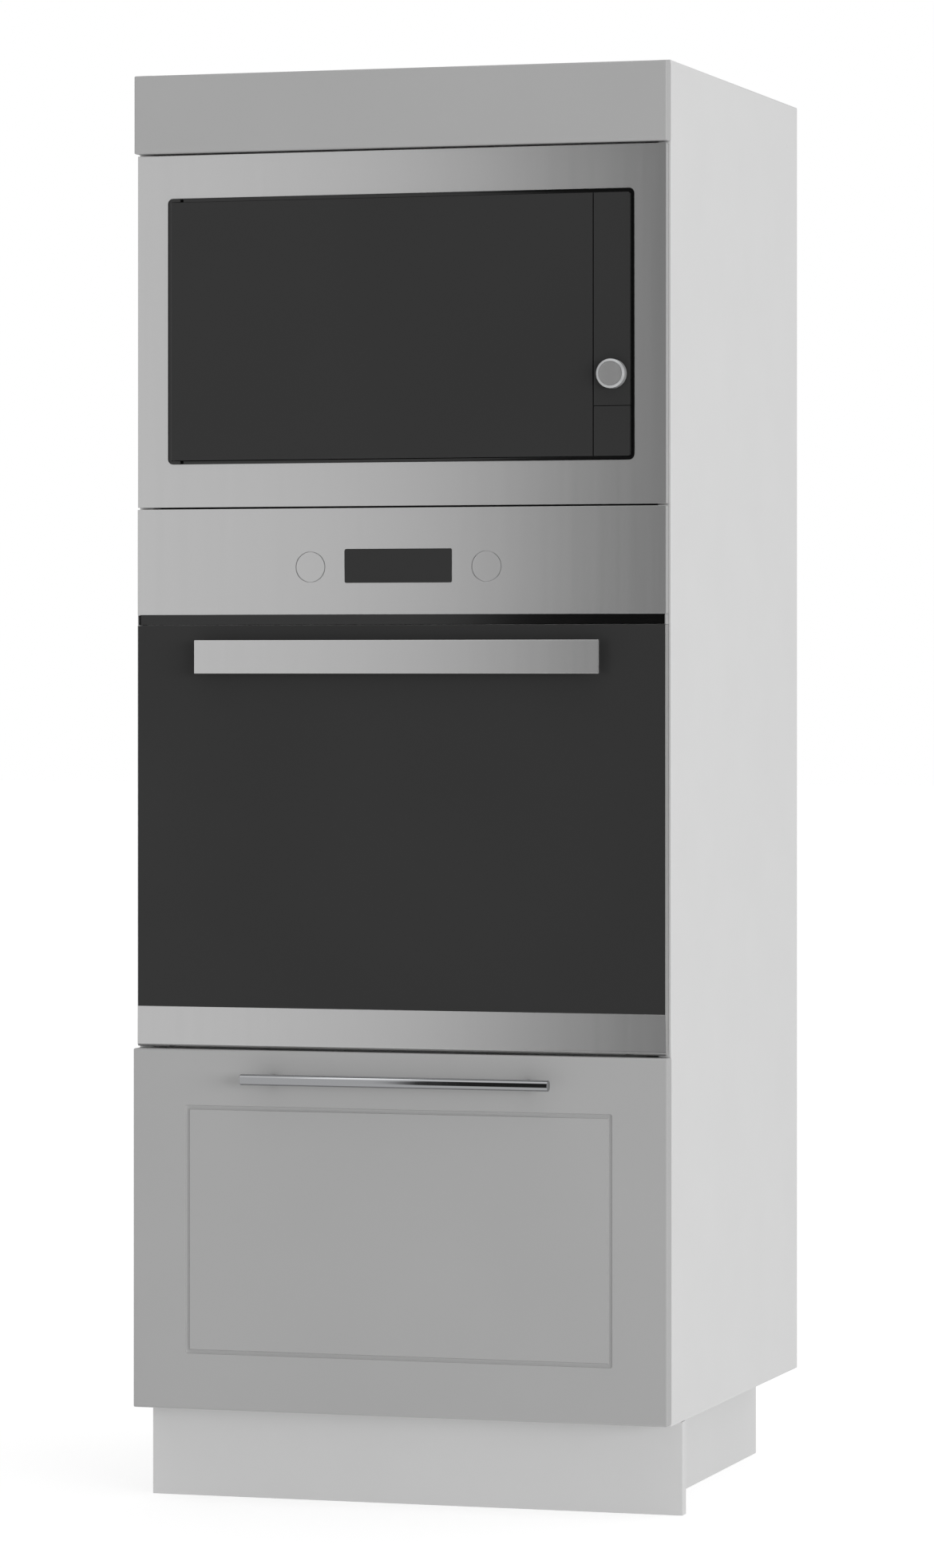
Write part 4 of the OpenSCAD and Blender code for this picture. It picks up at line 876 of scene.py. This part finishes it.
def close_tree(tree, geometry, material):
    """Ends a tree with Realize Instances and Set Material."""
    real = add(tree, "GeometryNodeRealizeInstances", {0: geometry}).outputs[0]
    painted = add(tree, "GeometryNodeSetMaterial", {"Geometry": real, "Material": material})
    add(tree, "NodeGroupOutput", {0: painted.outputs[0]})


def grow(name, tree, keys, values, points):
    """Runs the tree on a mesh of points and returns the plain mesh that it makes."""
    seed = bpy.data.meshes.new(name)
    seed.from_pydata([tuple(p) for p in points], [], [])
    holder = bpy.data.objects.new(name + "_holder", seed)
    modifier = holder.modifiers.new("tree", "NODES")
    modifier.node_group = tree
    for label, value in values.items():
        modifier[keys[label]] = value
    scene.collection.objects.link(holder)
    mesh = plain_mesh(holder)
    mesh.name = name
    return mesh


print("tools ready: new_tree(), on_points(), close_tree(), grow()")

# %% [markdown]
# ### Louvres
#
# Warm air leaves the casings through louvres pressed into their rear walls. A louvre is a long
# half-round ridge. In the tree a line as long as the ridge carries a half-round profile, and the
# ridge repeats on a column of points. From behind, the oven's are seen through the open niche.

# %% Tree of a column of louvres
louvre_tree, given, louvre_keys = new_tree("louvre_column", {
    "Rows": "NodeSocketInt", "Row Pitch": "NodeSocketFloat", "Length": "NodeSocketFloat",
    "Depth": "NodeSocketFloat"})
ends = add(louvre_tree, "ShaderNodeCombineXYZ", {0: given["Length"]}).outputs[0]
ridge_line = add(louvre_tree, "GeometryNodeCurvePrimitiveLine", {"End": ends}).outputs[0]
half_round = add(louvre_tree, "GeometryNodeCurveArc", {
    "Resolution": 9, "Radius": given["Depth"], "Start Angle": 0.0, "Sweep Angle": pi,
    "Connect Center": False}).outputs[0]
ridge = add(louvre_tree, "GeometryNodeCurveToMesh", {
    "Curve": ridge_line, "Profile Curve": half_round, "Fill Caps": True}).outputs[0]
step = add(louvre_tree, "ShaderNodeCombineXYZ", {2: given["Row Pitch"]}).outputs[0]
column = add(louvre_tree, "GeometryNodeMeshLine", {"Count": given["Rows"], "Offset": step})
seeds = on_points(louvre_tree, given["Geometry"], column.outputs[0])
spots = add(louvre_tree, "GeometryNodeRealizeInstances", {0: seeds}).outputs[0]
close_tree(louvre_tree, on_points(louvre_tree, spots, ridge), finishes["zinc_plate"])
print("louvre tree inputs:", list(louvre_keys))

# %% Press the louvres into both casings
length, from_side, from_bottom, sunk_y = 90 * mm, 60 * mm, 100 * mm, 0.4 * mm
for casing, row_count in [("oven_casing", 9), ("microwave_casing", 7)]:
    low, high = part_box(casing)
    starts = [(x, high.y - sunk_y, low.z + from_bottom) for x in (low.x + from_side, -length / 2)]
    louvre = {"Rows": row_count, "Row Pitch": 12 * mm, "Length": length, "Depth": 3.2 * mm}
    ridges = grow(casing + "_louvres", louvre_tree, louvre_keys, louvre, starts)
    piece = put_in_place(ridges, casing + "_louvres", "cabinet", "zinc_plate")
    print(piece.name, [[round(c, 3) for c in piece.bound_box[i]] for i in (0, 6)])

# %% [markdown]
# ### Plugs in the joining holes
#
# Each side panel is drilled for the screws that join it to the next cabinet. On a cabinet that
# stands alone, small white plugs close these holes flush, which is why the side looks plain. The
# record gives the pattern's centre and spacing, so the plugs find their holes by themselves.

# %% Tree of a plug, and the plugs
plug_tree, given, plug_keys = new_tree("flush_plugs", {
    "Radius": "NodeSocketFloat", "Thickness": "NodeSocketFloat"})
disc = add(plug_tree, "GeometryNodeMeshCylinder", {
    "Vertices": 32, "Side Segments": 2, "Fill Segments": 3, "Radius": given["Radius"],
    "Depth": given["Thickness"]}).outputs[0]
lying = add(plug_tree, "GeometryNodeTransform", {"Geometry": disc, "Rotation": (0, pi / 2, 0)})
plugs = on_points(plug_tree, given["Geometry"], lying.outputs[0])
close_tree(plug_tree, plugs, finishes["white_board"])

thickness, plug_centre_depth = 4 * mm, 2.1 * mm
patterns = [m for m in frame["record"]["mounts"] if m["name"].endswith("joining_screws")]
for pattern in patterns:
    name, sizes = pattern["name"] + "_plugs", pattern["dims"]
    x, y, z = pattern["pos_m"]
    inside_x = x + (plug_centre_depth if x < 0 else -plug_centre_depth)
    across_y, across_z = (sizes[k] * mm / 2 for k in ("spacing_x_mm", "spacing_y_mm"))
    places = [(inside_x, y + i * across_y, z + k * across_z) for i in (-1, 1) for k in (-1, 1)]
    plug_mesh = grow(name, plug_tree, plug_keys,
                     {"Radius": sizes["hole_r_mm"] * mm, "Thickness": thickness}, places)
    put_in_place(plug_mesh, name, "cabinet", "white_board")
print("plugs:", 4 * len(patterns))

# %% [markdown]
# ### Rings of the turntable
#
# Pressed glass turntables have raised rings under the food, so that steam gets away. The rings grow
# by an even step, which Geometry Nodes does well: a row of points, a circle on each, and each
# circle scaled by its number.

# %% Tree of concentric rings, and the turntable's rings
ring_tree, given, ring_keys = new_tree("concentric_rings", {
    "Rings": "NodeSocketInt", "Ring Step": "NodeSocketFloat", "Ridge Radius": "NodeSocketFloat"})
circle, bead = (
    add(ring_tree, "GeometryNodeCurvePrimitiveCircle", {"Resolution": n, "Radius": r}).outputs[0]
    for n, r in [(96, given["Ring Step"]), (8, given["Ridge Radius"])])
dots = add(ring_tree, "GeometryNodeMeshLine", {"Count": given["Rings"], "Offset": (0, 0, 0)})
first_number = 2.0
number = calculated(ring_tree, "ADD", add(ring_tree, "GeometryNodeInputIndex").outputs[0],
                    first_number)
size = add(ring_tree, "ShaderNodeCombineXYZ", {i: number for i in range(3)}).outputs[0]
circles = on_points(ring_tree, dots.outputs[0], circle, Scale=size)
paths = add(ring_tree, "GeometryNodeRealizeInstances", {0: circles}).outputs[0]
beads = add(ring_tree, "GeometryNodeCurveToMesh", {"Curve": paths, "Profile Curve": bead})
close_tree(ring_tree, on_points(ring_tree, given["Geometry"], beads.outputs[0]),
           finishes["turntable_glass"])

plate_thickness = 4 * mm
low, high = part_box("microwave_turntable")
plate_top = (low + high) / 2
plate_top.z = low.z + plate_thickness
ring_mesh = grow("turntable_rings", ring_tree, ring_keys,
                 {"Rings": 5, "Ring Step": 18.5 * mm, "Ridge Radius": 0.8 * mm}, [plate_top])
put_in_place(ring_mesh, "turntable_rings", "turntable", "turntable_glass")
print("turntable rings: 5")
